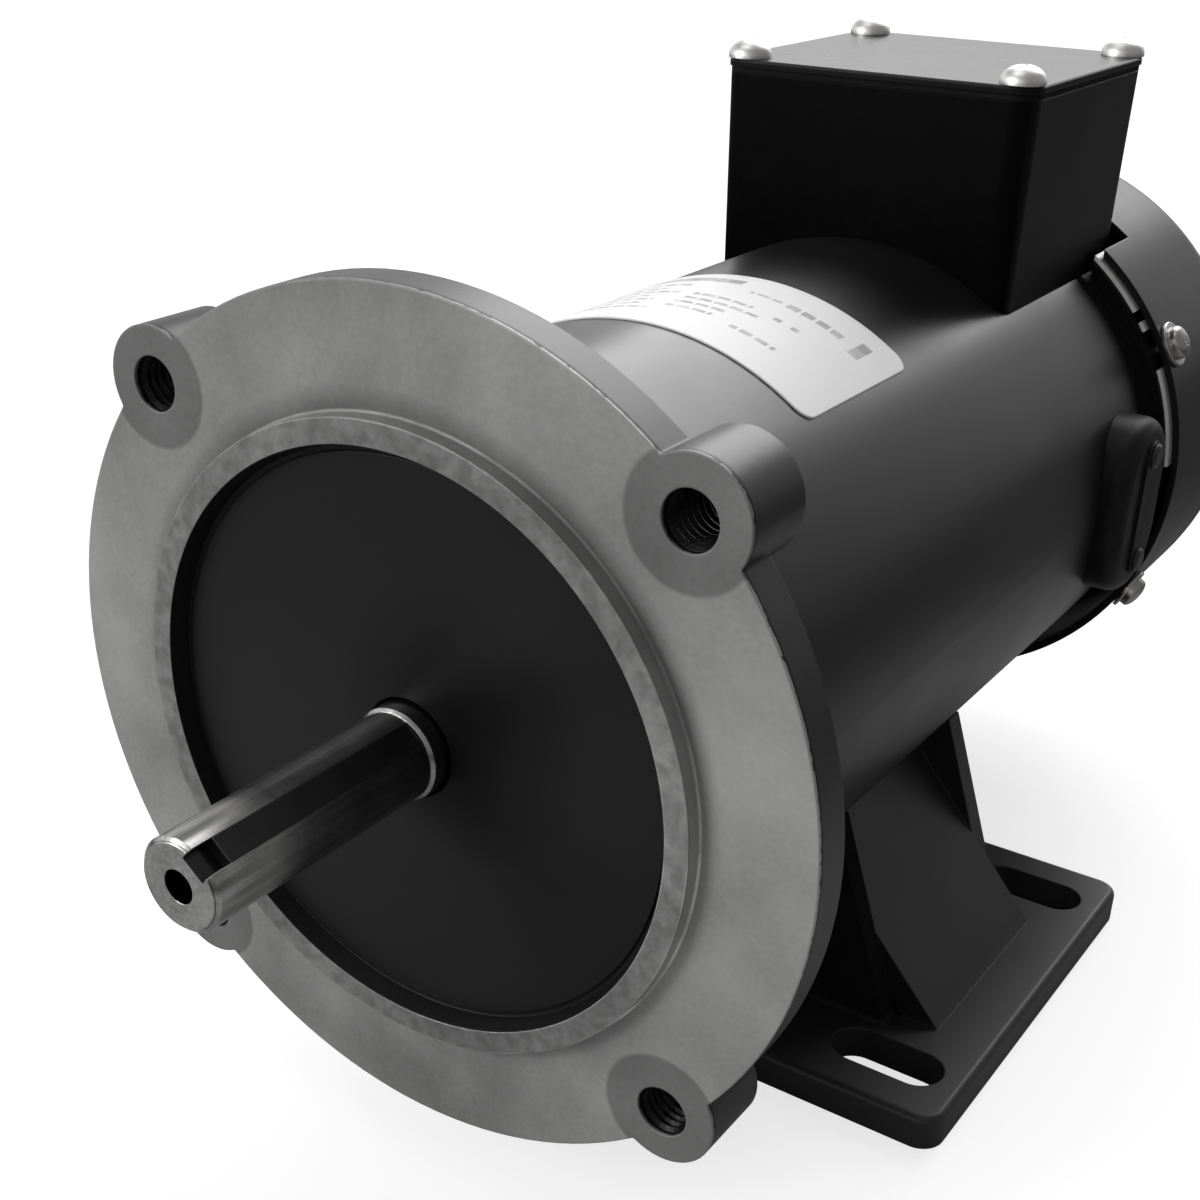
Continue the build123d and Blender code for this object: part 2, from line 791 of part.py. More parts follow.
def make_cooling_fan():
    """Radial fan: hub, back plate and straight blades."""
    inner = fan_shaft_diameter / 2
    hub = ring(fan_hub_diameter / 2, inner, fan_front, fan_hub_end)
    plate_radius = cover_inner - fan_plate_clearance
    body = hub + ring(plate_radius, fan_hub_diameter / 4, fan_front, fan_front + fan_plate_thickness)
    blade_start = fan_front + fan_plate_thickness / 2
    blade = Pos((fan_blade_root + plate_radius) / 2, blade_start + fan_blade_width / 2, 0) * Box(
        plate_radius - fan_blade_root, fan_blade_width, fan_blade_thickness
    )
    foot = Pos(fan_hub_diameter / 2, blade_start + fan_blade_width / 2, 0) * Box(
        fan_blade_root, fan_blade_width * fan_foot_share, fan_blade_thickness
    )
    for index in range(fan_blade_count):
        body += Rot(0, index * 360 / fan_blade_count, 0) * (blade + foot)
    return body - rod(inner, fan_front - 1, fan_hub_end + 1)


def make_fan_retaining_ring():
    """Split ring in the shaft's groove behind the fan hub."""
    inner = fan_shaft_diameter / 2 - ring_groove_depth
    body = ring(inner + ring_wall, inner, fan_hub_end, fan_hub_end + ring_thickness)
    gap = Pos(0, fan_hub_end, inner + ring_wall) * Box(ring_wall, ring_thickness * 4, ring_wall * 3)
    return body - gap


def make_fan_cover():
    """Drawn steel cover with a ring grille and a notch under the conduit box."""
    outer = rod(cover_outer, cover_front, cover_end)
    outer = fillet(outer.edges().sort_by(Axis.Y)[-1], cover_corner_round)
    inner = rod(cover_inner, cover_front - 1, cover_end - cover_wall)
    inner = fillet(inner.edges().sort_by(Axis.Y)[-1], cover_corner_round - cover_wall)
    body = outer - inner
    half = grille_slot_width / 2
    low = cover_end - cover_wall - 1
    high = cover_end + 1
    grille = [ring(radius + half, radius - half, low, high) for radius in grille_ring_radii]
    spoke = Box(cover_outer * 2, cover_wall * 4, grille_spoke_width)
    spokes = fused([Pos(0, cover_end, 0) * Rot(0, angle, 0) * spoke for angle in (45, 135)])
    body -= fused(grille) - spokes
    notch_half = box_width / 2 + cover_notch_clearance
    notch_end = box_rear + cover_notch_clearance
    notch = Box(2 * notch_half, notch_end - cover_front + cover_notch_overrun, cover_outer * cover_notch_reach)
    body -= Pos(0, (cover_front + notch_end) / 2, cover_outer) * notch
    hole = upright(cover_screw_diameter / 2, 0, cover_screw_y, cover_inner / 2, cover_outer + 1)
    for angle in cover_screw_angles():
        body -= outward(angle, hole)
    return body


def make_fan_cover_screw(angle):
    """Radial screw with a washer."""
    seat = cover_outer + cover_washer_thickness
    screw = pan_screw(
        cover_screw_diameter / 2,
        cover_wall + cover_washer_thickness + cover_screw_grip,
        cover_screw_head_diameter / 2,
        cover_screw_head_height,
    )
    disc = Cylinder(cover_washer_diameter / 2, cover_washer_thickness)
    washer = Pos(0, 0, -cover_washer_thickness / 2) * disc
    return outward(angle, Pos(0, cover_screw_y, seat) * (screw + washer))


def box_outline(inset):
    """Plan of the conduit box, set in from its outside."""
    corner = max(box_corner_radius - inset, 1)
    return RectangleRounded(box_width - 2 * inset, box_length - 2 * inset, corner)


def lid_screw_places():
    """Centres of the lid screws."""
    x = box_width / 2 - lid_screw_inset
    y = box_length / 2 - lid_screw_inset
    return [(sx * x, box_middle + sy * y) for sx in (-1, 1) for sy in (-1, 1)]


def box_block(inset, depth):
    """Drafted block of the box's plan that hangs down from its top edge."""
    top = Pos(0, box_middle, box_top) * box_outline(inset)
    return extrude(top, -depth, taper=box_draft)


def make_conduit_box():
    """Open box saddled on the tube, with corner posts, a conduit hole and fixing bosses."""
    depth = box_rise + tube_radius / 2
    saddle = rod(tube_radius, tube_front, cover_end)
    floor = rod(tube_radius + box_floor, tube_front, cover_end)
    cavity = box_block(box_wall, depth)
    body = box_block(0, depth) - (cavity - floor)
    inside = []
    for x, y in lid_screw_places():
        inside.append(upright(screw_post_diameter / 2, x, y, tube_radius / 2, box_top))
    for x, y in box_screw_places():
        inside.append(upright(box_boss_diameter / 2, x, y, tube_radius / 2, tube_radius + box_boss_rise))
    body += [post & cavity for post in inside]
    body -= saddle
    for x, y in lid_screw_places():
        body -= upright(lid_screw_diameter / 2, x, y, box_top - lid_screw_grip, box_top + 1)
    for x, y in box_screw_places():
        body -= upright(box_screw_diameter / 2, x, y, tube_radius / 2, box_top)
    body -= upright(grommet_diameter / 2, 0, brush_station, tube_radius / 2, box_top)
    body -= upright(earth_screw_diameter / 2, 0, earth_screw_station(), tube_radius / 2, box_top)
    hole_z = box_top - conduit_hole_drop
    return body - sideways(conduit_hole_diameter / 2, -box_width, -box_width / 4, box_middle, hole_z)


def make_conduit_box_gasket():
    """Rubber gasket between the box's edge and the lid."""
    plate = Pos(0, box_middle, box_top) * (box_outline(0) - box_outline(box_wall))
    body = extrude(plate, gasket_thickness)
    for x, y in lid_screw_places():
        body += upright(screw_post_diameter / 2, x, y, box_top, lid_bottom)
        body -= upright(lid_screw_diameter / 2, x, y, box_top - 1, lid_bottom + 1)
    return body


def make_conduit_box_lid():
    """Flat sheet lid with four screw holes."""
    body = extrude(Pos(0, box_middle, lid_bottom) * box_outline(-lid_overlap), lid_thickness)
    body = chamfer(body.edges().group_by(Axis.Z)[-1], lid_edge_chamfer)
    for x, y in lid_screw_places():
        body -= upright(lid_screw_diameter / 2, x, y, box_top, lid_top + 1)
    return body


def make_lid_screws():
    """Four pan head screws through lid and gasket into the posts."""
    length = lid_thickness + gasket_thickness + lid_screw_grip
    screw = pan_screw(lid_screw_diameter / 2, length, lid_screw_head_diameter / 2, lid_screw_head_height)
    return group([Pos(x, y, lid_top) * screw for x, y in lid_screw_places()])


def make_box_screws():
    """Two screws from inside the box into the tube."""
    side = box_width / 2 - box_screw_inset
    length = tube_wall + box_boss_rise + tube_radius - sqrt(tube_radius**2 - side**2)
    screw = pan_screw(box_screw_diameter / 2, length, box_screw_head_diameter / 2, box_screw_head_height)
    return group([Pos(x, y, tube_radius + box_boss_rise) * screw for x, y in box_screw_places()])


def make_lead_grommet():
    """Rubber grommet in the tube wall and the box floor, with a flange inside the box."""
    top = tube_radius + box_floor
    body = upright(grommet_diameter / 2, 0, brush_station, tube_inner, top)
    flange_radius = grommet_diameter / 2 + grommet_flange
    body += upright(flange_radius, 0, brush_station, top, top + grommet_flange_thickness)
    end = top + grommet_flange_thickness
    return body - upright(grommet_bore / 2, 0, brush_station, tube_inner - 1, end + 1)


def make_earth_screw():
    """Earthing screw on the box floor, ahead of the grommet."""
    top = tube_radius + box_floor
    screw = pan_screw(
        earth_screw_diameter / 2, box_floor, earth_screw_head_diameter / 2, earth_screw_head_height
    )
    return Pos(0, earth_screw_station(), top) * screw


def earth_screw_station():
    """Station of the earthing screw."""
    return box_front + box_screw_front


def make_lead_wire():
    """Lead from a brush holder up through the grommet into the box."""
    holder_top = brush_height / 2 + brush_clearance + holder_wall
    side_x = holder_span()[0] + lead_start_inset
    middle_x = grommet_bore / 2 - lead_diameter / 2 - lead_wall_gap
    top = tube_radius + box_floor + grommet_flange_thickness + lead_rise
    path = FilletPolyline(
        (side_x, brush_station, holder_top),
        (side_x, brush_station, tube_inner - lead_low_turn),
        (middle_x, brush_station, tube_inner - lead_high_turn),
        (middle_x, brush_station, top),
        radius=lead_bend_radius,
    )
    section = Plane(origin=path @ 0, z_dir=path % 0) * Circle(lead_diameter / 2)
    return sweep(section, path=path)


def make_nameplate():
    """Thin label bent round the top of the tube."""
    middle = tube_front + label_start + label_length / 2
    inner = tube_radius + label_glue
    outer = inner + label_thickness
    shell = ring(outer, inner, middle - label_length / 2, middle + label_length / 2)
    outline = RectangleRounded(2 * label_half_width, label_length, label_corner_radius)
    return shell & extrude(Pos(0, middle, 0) * outline, outer)


def make_foot_base():
    """Slotted foot plate with a welded pedestal of two leaning sides and two end gussets."""
    length = foot_pitch + 2 * foot_plate_margin
    plate = extrude(
        Pos(0, foot_middle, -shaft_height) * RectangleRounded(foot_plate_width, length, foot_plate_corner),
        foot_plate_thickness,
    )
    plate = fillet(plate.edges().group_by(Axis.Z)[-1], foot_edge_round)
    slot = upright_slot()
    for x in (-1, 1):
        for y in (-1, 1):
            plate -= Pos(x * foot_slot_spacing / 2, foot_middle + y * foot_pitch / 2, 0) * slot
    rise = pedestal_foot_half - pedestal_top_half
    run = shaft_height - foot_plate_thickness - pedestal_top_drop
    inner_offset = pedestal_wall * sqrt(rise**2 + run**2) / run
    past = pedestal_wall * 2
    lean = rise / run
    side = make_face(
        Polyline(
            (pedestal_foot_half + lean * foot_edge_round, foot_top - foot_edge_round),
            (pedestal_top_half - lean * past, past - pedestal_top_drop),
            (pedestal_top_half - lean * past - inner_offset, past - pedestal_top_drop),
            (pedestal_foot_half + lean * foot_edge_round - inner_offset, foot_top - foot_edge_round),
            close=True,
        )
    )
    start = foot_middle - pedestal_length / 2
    end = foot_middle + pedestal_length / 2
    wall = slab(side, start, end)
    body = plate + [wall, mirror(wall, Plane.YZ)]
    gusset = make_face(
        Polyline(
            (gusset_foot_half, foot_top - foot_edge_round),
            (gusset_top_half, -gusset_top_drop),
            (-gusset_top_half, -gusset_top_drop),
            (-gusset_foot_half, foot_top - foot_edge_round),
            close=True,
        )
    )
    body += slab(gusset, start - gusset_thickness, start)
    body += slab(gusset, end, end + gusset_thickness)
    return body - rod(tube_radius, start - 2 * gusset_thickness, end + 2 * gusset_thickness)


def upright_slot():
    """Cutter of one foot slot."""
    outline = SlotOverall(foot_slot_length, foot_slot_width)
    return extrude(Pos(0, 0, -shaft_height - 1) * outline, foot_plate_thickness + 2)


nodes = {
    "front_end_bell": make_front_end_bell(),
    "motor_tube": make_motor_tube(),
    "field_magnets": make_field_magnets(),
    "nameplate": make_nameplate(),
    "rear_end_bell": make_rear_end_bell(),
    "through_bolts": make_through_bolts(),
    "front_bearing_outer": make_bearing_outer(front_bearing_start),
    "rear_bearing_outer": make_bearing_outer(rear_bearing_start),
    "front_bearing_inner": make_bearing_inner(front_bearing_start),
    "rear_bearing_inner": make_bearing_inner(rear_bearing_start),
    "front_bearing_balls": make_bearing_balls(front_bearing_start),
    "rear_bearing_balls": make_bearing_balls(rear_bearing_start),
    "shaft_seal": make_shaft_seal(),
    "wave_washer": make_wave_washer(),
    "shaft": make_shaft(),
    "shaft_key": make_shaft_key(),
    "armature_core": make_armature_core(),
    "armature_windings": make_armature_windings(),
    "commutator": make_commutator(),
    "cooling_fan": make_cooling_fan(),
    "fan_retaining_ring": make_fan_retaining_ring(),
    "brush_holders": group(brush_pair(make_brush_holder())),
    "brush_right": make_brush(),
    "brush_left": Rot(0, 180, 0) * make_brush(),
    "brush_spring_right": make_brush_spring(),
    "brush_spring_left": Rot(0, 180, 0) * make_brush_spring(),
    "brush_covers": group(brush_pair(make_brush_cover())),
    "brush_cover_screws": make_brush_cover_screws(),
    "fan_cover": make_fan_cover(),
    "fan_cover_screws": group([make_fan_cover_screw(angle) for angle in cover_screw_angles()]),
    "conduit_box": make_conduit_box(),
    "conduit_box_gasket": make_conduit_box_gasket(),
    "conduit_box_lid": make_conduit_box_lid(),
    "lid_screws": make_lid_screws(),
    "box_screws": make_box_screws(),
    "lead_grommet": make_lead_grommet(),
    "earth_screw": make_earth_screw(),
    "lead_wires": group([make_lead_wire(), mirror(make_lead_wire(), Plane.YZ)]),
    "foot_base": make_foot_base(),
}

for name, shape in nodes.items():
    export_step(shape, f"parts/{name}.step")
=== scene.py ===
# %% [markdown]
# A permanent magnet DC motor in a studio
#
# The motor stands on its slotted base with its mounting face and keyed shaft towards us. The solids
# come from the construction model, each in its own place. This lesson gives them their finishes, adds
# the small things that are easier to model here, such as threads, screw heads and the brush springs,
# and sets up a camera, a floor and lamps.

# %% Load the frame
from math import cos, pi, radians, sin

import bmesh
import bpy
from mathutils import Matrix, Vector


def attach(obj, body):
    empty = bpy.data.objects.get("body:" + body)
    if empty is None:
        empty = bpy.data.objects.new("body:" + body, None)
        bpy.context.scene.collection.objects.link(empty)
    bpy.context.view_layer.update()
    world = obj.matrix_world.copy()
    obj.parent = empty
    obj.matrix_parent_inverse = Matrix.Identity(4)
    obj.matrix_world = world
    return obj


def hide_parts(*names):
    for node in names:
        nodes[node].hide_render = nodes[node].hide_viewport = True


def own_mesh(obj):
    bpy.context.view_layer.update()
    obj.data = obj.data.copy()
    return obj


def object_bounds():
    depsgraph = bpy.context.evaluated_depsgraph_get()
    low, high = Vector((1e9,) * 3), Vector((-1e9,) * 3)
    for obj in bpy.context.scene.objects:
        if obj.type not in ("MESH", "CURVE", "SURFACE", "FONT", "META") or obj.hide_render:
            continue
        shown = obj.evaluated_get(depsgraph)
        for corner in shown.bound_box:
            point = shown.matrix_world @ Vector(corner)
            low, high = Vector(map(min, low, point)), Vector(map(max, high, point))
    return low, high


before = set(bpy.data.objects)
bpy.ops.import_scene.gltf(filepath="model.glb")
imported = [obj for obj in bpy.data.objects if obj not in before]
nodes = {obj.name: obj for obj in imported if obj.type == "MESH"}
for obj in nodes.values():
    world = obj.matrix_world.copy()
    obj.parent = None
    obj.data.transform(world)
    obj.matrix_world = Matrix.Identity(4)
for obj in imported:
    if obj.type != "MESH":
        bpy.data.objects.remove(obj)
cad_low, cad_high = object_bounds()
mm = 0.001
print("nodes", len(nodes), "size in mm", [round(side / mm, 1) for side in cad_high - cad_low])

# %% [markdown]
# The camera
#
# A camera can be matched to a photograph by solving for the place, turn and lens that put known
# circles, here the bolt circle, the pilot and the shaft, where the photograph has them. The values
# below are that solution. The picture was cropped from a larger one, so the lens looks a little off
# its centre, and the shift brings that back.

# %% Camera
camera_place = (166.14, -193.05, 139.33)
camera_turn = (60.73, -0.789, 34.689)
camera_focal_pixels = 1717.2
camera_centre_pixels = (578.2, 763.4)
frame_pixels = 1200.0
sensor_width = 36.0

camera_data = bpy.data.cameras.new("camera")
camera_data.sensor_width = sensor_width
camera_data.lens = camera_focal_pixels / frame_pixels * sensor_width
camera_data.shift_x = (frame_pixels / 2 - camera_centre_pixels[0]) / frame_pixels
camera_data.shift_y = (camera_centre_pixels[1] - frame_pixels / 2) / frame_pixels
camera_data.clip_start = 0.01
camera = bpy.data.objects.new("camera", camera_data)
camera.location = [value * mm for value in camera_place]
camera.rotation_euler = [radians(value) for value in camera_turn]
bpy.context.scene.collection.objects.link(camera)
bpy.context.scene.camera = camera
bpy.context.scene.view_settings.view_transform = "Standard"
shift = (round(camera_data.shift_x, 3), round(camera_data.shift_y, 3))
print("lens", round(camera_data.lens, 2), "mm, shift", shift)

# %% [markdown]
# Small helpers for materials
#
# A material here is a chain of shader nodes. Adding a node, setting its inputs and joining it up is
# the same work each time, so a few short helpers do it. Every pattern reads Object coordinates, which
# are metres in this scene, so a noise scale of 1000 has features of about a millimetre. Each finish is
# kept under the name it was asked for, because Blender may give it another one.

# %% Material helpers
finishes = {}


def new_material(name, color, metallic, roughness, specular=0.5):
    """Material with a plain start: one colour, metallic value, roughness and specular level."""
    made = bpy.data.materials.new(name)
    finishes[name] = made
    made.use_nodes = True
    shader = made.node_tree.nodes["Principled BSDF"]
    shader.inputs["Base Color"].default_value = (*color, 1)
    shader.inputs["Metallic"].default_value = metallic
    shader.inputs["Roughness"].default_value = roughness
    shader.inputs["Specular IOR Level"].default_value = specular
    return made, shader


def add(made, kind, inputs=(), **settings):
    """Node of one kind, with its settings and its inputs, which are values or other sockets."""
    node = made.node_tree.nodes.new(kind)
    for key, value in settings.items():
        setattr(node, key, value)
    for key, value in dict(inputs).items():
        if isinstance(value, bpy.types.NodeSocket):
            made.node_tree.links.new(value, node.inputs[key])
        else:
            node.inputs[key].default_value = value
    return node


def join(made, source, target):
    """Link from an output socket to an input socket."""
    made.node_tree.links.new(source, target)


def place_of(made):
    """Object coordinates, in metres."""
    return add(made, "ShaderNodeTexCoord").outputs["Object"]


def parts_of(made):
    """The three Object coordinates apart."""
    return add(made, "ShaderNodeSeparateXYZ", {0: place_of(made)}).outputs


def stretched(made, scale):
    """Object coordinates stretched along the axes."""
    return add(made, "ShaderNodeMapping", {"Vector": place_of(made), "Scale": scale}).outputs[0]


def noise(made, scale, detail=3.0, vector=None):
    """Grey noise with features of about 1 / scale metres."""
    inputs = {"Vector": vector or place_of(made), "Scale": scale, "Detail": detail}
    return add(made, "ShaderNodeTexNoise", inputs).outputs["Fac"]


def step(made, operation, first, second=0.0):
    """One arithmetic step."""
    return add(made, "ShaderNodeMath", {0: first, 1: second}, operation=operation).outputs[0]


def spread(made, source, low, high, new_low, new_high):
    """Value mapped from one range to another and held at the ends."""
    inputs = {0: source, 1: low, 2: high, 3: new_low, 4: new_high}
    return add(made, "ShaderNodeMapRange", inputs, clamp=True).outputs[0]


def rise(made, source, start, end):
    """0 up to one value and 1 from the other on."""
    return spread(made, source, start, end, 0.0, 1.0)


def fall(made, source, start, end):
    """1 up to one value and 0 from the other on."""
    return spread(made, source, start, end, 1.0, 0.0)


def times(made, *values):
    """Product of numbers and sockets."""
    product = values[0]
    for value in values[1:]:
        product = step(made, "MULTIPLY", product, value)
    return product


def plus(made, *values):
    """Sum of numbers and sockets."""
    total = values[0]
    for value in values[1:]:
        total = step(made, "ADD", total, value)
    return total


def mixed(made, factor, first, second):
    """Colour between two colours, each an RGB triple or a socket."""
    node = add(made, "ShaderNodeMix", {0: factor}, data_type="RGBA")
    for index, value in ((6, first), (7, second)):
        if isinstance(value, bpy.types.NodeSocket):
            join(made, value, node.inputs[index])
        else:
            node.inputs[index].default_value = (*value, 1)
    return node.outputs[2]


def radius_of(made, kept=(1, 0, 1)):
    """Distance from the shaft axis, in metres, or from another axis when other coordinates are kept."""
    flat = add(made, "ShaderNodeVectorMath", {0: place_of(made), 1: kept}, operation="MULTIPLY")
    return add(made, "ShaderNodeVectorMath", {0: flat.outputs[0]}, operation="LENGTH").outputs["Value"]


def band(made, source, low, high, soft):
    """Mask that is 1 between two values, with soft ends."""
    above = rise(made, source, low - soft, low + soft)
    below = fall(made, source, high - soft, high + soft)
    return times(made, above, below)


def scaled(made, tone, share):
    """Colour times a number."""
    return add(made, "ShaderNodeVectorMath", {0: tone, 3: share}, operation="SCALE").outputs[0]


def surface(made, shader, height, strength, distance, edge_radius):
    """Bump over edges that are rounded in the shading by a small radius."""
    rounded = add(made, "ShaderNodeBevel", {"Radius": edge_radius}, samples=4).outputs[0]
    inputs = {"Strength": strength, "Distance": distance, "Height": height, "Normal": rounded}
    join(made, add(made, "ShaderNodeBump", inputs).outputs[0], shader.inputs["Normal"])


def edge_wear_and_highlight(made, radius, low, high):
    """Mask that is 1 on edges and 0 on flat faces."""
    rounded = add(made, "ShaderNodeBevel", {"Radius": radius}, samples=4).outputs[0]
    straight = add(made, "ShaderNodeNewGeometry").outputs["Normal"]
    dot = add(made, "ShaderNodeVectorMath", {0: rounded, 1: straight}, operation="DOT_PRODUCT")
    return fall(made, dot.outputs["Value"], low, high)


# %% [markdown]
# The front bell: a painted casting with a machined face
#
# The front bell is an aluminium casting that was painted black and then faced in a lathe. The turned
# face, the pilot ring and the corner between them are bare, mottled grey metal. The sides, the ears,
# the tapped holes and the sunk web keep their paint. One material holds both, and switches by where a
# point is: how far from the shaft axis and how far behind the face. A pair of lengths below says where
# a change starts and where it is complete.

# %% Where the front bell is bare
bell_paint = (0.0075, 0.0075, 0.008)
bare_dark = (0.19, 0.188, 0.186)
bare_light = (0.45, 0.446, 0.442)
edge_bright = (0.95, 0.95, 0.94)
web_edge = (52.83 * mm, 52.87 * mm)
bare_line = (0.5 * mm, 0.7 * mm)
nick_size = 0.35 * mm
wave_size = 0.3 * mm
bolt_circle_half = 52.76 * mm
spot_rim = (10.8 * mm, 11.5 * mm)


def bare_area(made):
    """Mask of the machined face: outside the painted web and in front of a ragged line on the sides."""
    outside = rise(made, radius_of(made), *web_edge)
    nicks = spread(made, noise(made, 620.0, 4.0), 0.52, 0.66, 0.0, nick_size)
    waves = times(made, plus(made, noise(made, 200.0, 2.0), -0.5), wave_size)
    station = plus(made, parts_of(made)["Y"], nicks, waves)
    return times(made, outside, fall(made, station, *bare_line))


def distance_from(made, vector, centre):
    """Distance of a vector from a line along the shaft's direction through the centre."""
    moved = add(made, "ShaderNodeVectorMath", {0: vector, 1: centre}, operation="SUBTRACT").outputs[0]
    flat = add(made, "ShaderNodeVectorMath", {0: moved, 1: (1, 0, 1)}, operation="MULTIPLY").outputs[0]
    return add(made, "ShaderNodeVectorMath", {0: flat}, operation="LENGTH").outputs["Value"]


def spot_area(made):
    """Mask of the round spots about the four bolt holes, where the tool went a little deeper."""
    folded = add(made, "ShaderNodeVectorMath", {0: place_of(made)}, operation="ABSOLUTE").outputs[0]
    distance = distance_from(made, folded, (bolt_circle_half, 0, bolt_circle_half))
    return fall(made, distance, *spot_rim)


# %% [markdown]
# Tone of the machined face
#
# The bare metal isn't one grey. It has large soft clouds, and painted light makes it lighter towards
# its sides, the right and the top. The pilot ring is mottled and darker, its foot has a painted soft
# shade, and the four spots about the bolt holes are darker. Thin bright lines on the edges are partly
# rubbed wear and partly painted highlights, mostly at the lower right.

# %% Tone of the bare metal
ring_front = (-2.9 * mm, -2.6 * mm)
ring_mottle = (0.58, 0.86)
# The painted shade at the pilot's foot, and the share of colour that the step wall keeps in it.
foot_reach = (57.15 * mm, 61.65 * mm)
wall_reach = (57.17 * mm, 57.21 * mm)
wall_shade = 0.8
spot_shade = 0.58
# The painted highlight line round the pilot's foot, and where painted highlights and rubbed wear on edges
# fade away from the pilot.
foot_line = (57.25 * mm, 57.6 * mm, 0.08 * mm)
wear_and_highlight_reach = (60.0 * mm, 61.0 * mm)
wear_and_highlight_outside = 0.15


def clouded_and_lit_metal(made, grain):
    """Bare metal in clouds, with painted light that makes it lighter towards both sides, the right and the
    top.
    """
    across = parts_of(made)
    clouds = plus(made, times(made, grain, 0.2), times(made, noise(made, 34.0, 5.0), 0.8))
    # Painted light: the metal is made lighter towards both sides, and towards the right and the top.
    sides = spread(made, step(made, "ABSOLUTE", across["X"]), 15.0 * mm, 80.0 * mm, -0.03, 0.17)
    light_drift = plus(made, times(made, across["X"], 0.9), times(made, across["Z"], 0.25))
    share = rise(made, plus(made, clouds, sides, light_drift), 0.3, 0.8)
    return mixed(made, share, bare_dark, bare_light)


def painted_light_share(made):
    """Painted light: a share of 0.5 over most of the face and 1.15 at its lower right, which is made lighter.
    """
    across = parts_of(made)
    slant = step(made, "SUBTRACT", across["X"], across["Z"])
    return spread(made, slant, 30.0 * mm, 60.0 * mm, 0.5, 1.15)


def tone_and_painted_shade(made):
    """Share of its colour that the metal keeps: darker and mottled on the pilot ring, a painted shade at the
    ring's foot, and darker in the spots.
    """
    behind = rise(made, parts_of(made)["Y"], *ring_front)
    mottled = spread(made, noise(made, 420.0, 4.0), 0.35, 0.65, *ring_mottle)
    ring = step(made, "MAXIMUM", behind, mottled)
    # Painted shade at the ring's foot, lifted at the lower right by painted light; the step wall keeps 0.8 or
    # more.
    from_foot = rise(made, radius_of(made), *foot_reach)
    soft = spread(made, from_foot, 0.0, 1.0, painted_light_share(made), 1.0)
    wall = spread(made, radius_of(made), *wall_reach, wall_shade, 0.0)
    foot = mixed(made, behind, (1, 1, 1), step(made, "MAXIMUM", soft, wall))
    spots = spread(made, spot_area(made), 0.0, 1.0, 1.0, spot_shade)
    return times(made, ring, foot, spots)


def rubbed_and_highlit_lines(made):
    """Mask of the edges, partly rubbed and partly given a painted highlight, and of the painted highlight
    line round the pilot's foot.
    """
    line = band(made, radius_of(made), *foot_line)
    edges = step(made, "MAXIMUM", edge_wear_and_highlight(made, 0.45 * mm, 0.88, 0.985), line)
    highlight_side = spread(made, painted_light_share(made), 0.5, 1.0, 0.25, 1.0)
    near_pilot = spread(made, radius_of(made), *wear_and_highlight_reach, 1.0, wear_and_highlight_outside)
    broken = spread(made, noise(made, 90.0, 3.0), 0.35, 0.55, 0.3, 1.0)
    return times(made, edges, highlight_side, near_pilot, broken)


# %% [markdown]
# Paint and metal together
#
# The gloss of the painted parts also changes from place to place. The sunk web is nearly matt beside
# the shaft, which paints the shaft's shadow on it, and the sides of the flange and ears shine more
# than the web.

# %% Front bell finish
lip_edge = (52.85 * mm, 52.95 * mm)
lip_line = (0.9 * mm, 1.3 * mm)
lip_gloss = (0.12, 0.6)
shade_centre = (11.0 * mm, 0.0, 7.0 * mm)
shade_reach = (3.0 * mm, 26.0 * mm)
shade_gloss = (0.02, 0.22)
paint_and_bare_metallic = (0.0, 0.35)
paint_and_bare_roughness = (0.42, 0.46)


def make_front_bell_finish():
    """Black paint and bare, machined metal in one material."""
    made, shader = new_material("cast_face", bare_light, 0.35, 0.5, 0.3)
    grain = noise(made, 900.0, 3.0)
    bare = bare_area(made)
    tone = scaled(made, clouded_and_lit_metal(made, grain), tone_and_painted_shade(made))
    # Painted highlights, with some rubbed wear, brighten the edges and the line at the pilot's foot.
    tone = mixed(made, rubbed_and_highlit_lines(made), tone, edge_bright)
    join(made, mixed(made, bare, bell_paint, tone), shader.inputs["Base Color"])
    join(made, spread(made, bare, 0.0, 1.0, *paint_and_bare_metallic), shader.inputs["Metallic"])
    join(made, spread(made, bare, 0.0, 1.0, *paint_and_bare_roughness), shader.inputs["Roughness"])
    # A painted shadow of the shaft: the web's gloss drops close to it.
    from_shade = distance_from(made, place_of(made), shade_centre)
    web = spread(made, from_shade, *shade_reach, *shade_gloss)
    lip = spread(made, parts_of(made)["Y"], *lip_line, *lip_gloss)
    outside = rise(made, radius_of(made), *lip_edge)
    gloss = step(made, "MAXIMUM", web, times(made, outside, lip))
    join(made, gloss, shader.inputs["Specular IOR Level"])
    surface(made, shader, grain, 0.35, 0.05 * mm, 0.5 * mm)


make_front_bell_finish()
print("front bell finish nodes", len(finishes["cast_face"].node_tree.nodes))

# %% [markdown]
# Black satin paint
#
# The tube, box, covers and base have black satin paint. Up close it has a very fine orange peel, a
# slightly uneven gloss and a softer highlight than a mirror coat, so roughness carries a cloud noise
# and the bump a fine one. Some parts are glossier or duller than the rest, which paints light and shade
# on them, and a small function for each says where.

# %% Black paint
# Lighter paint for the foot plate, which is painted light on it.
lit_foot_paint = (0.018, 0.018, 0.0185)
# Reaches of the painted shade at the tube's rear end and the box's foot, and the painted sheen on the box's
# sides.
tube_shaded_end = (195.0 * mm, 199.5 * mm)
box_shaded_foot = (52.0 * mm, 84.0 * mm)
box_side = (34.0 * mm, 34.6 * mm)
box_side_sheen = 3.2
front_gusset_end = (83.3 * mm, 83.6 * mm)
foot_plate_top = (-81.0 * mm, -80.0 * mm)
foot_light_end = (-81.0 * mm, -79.5 * mm)


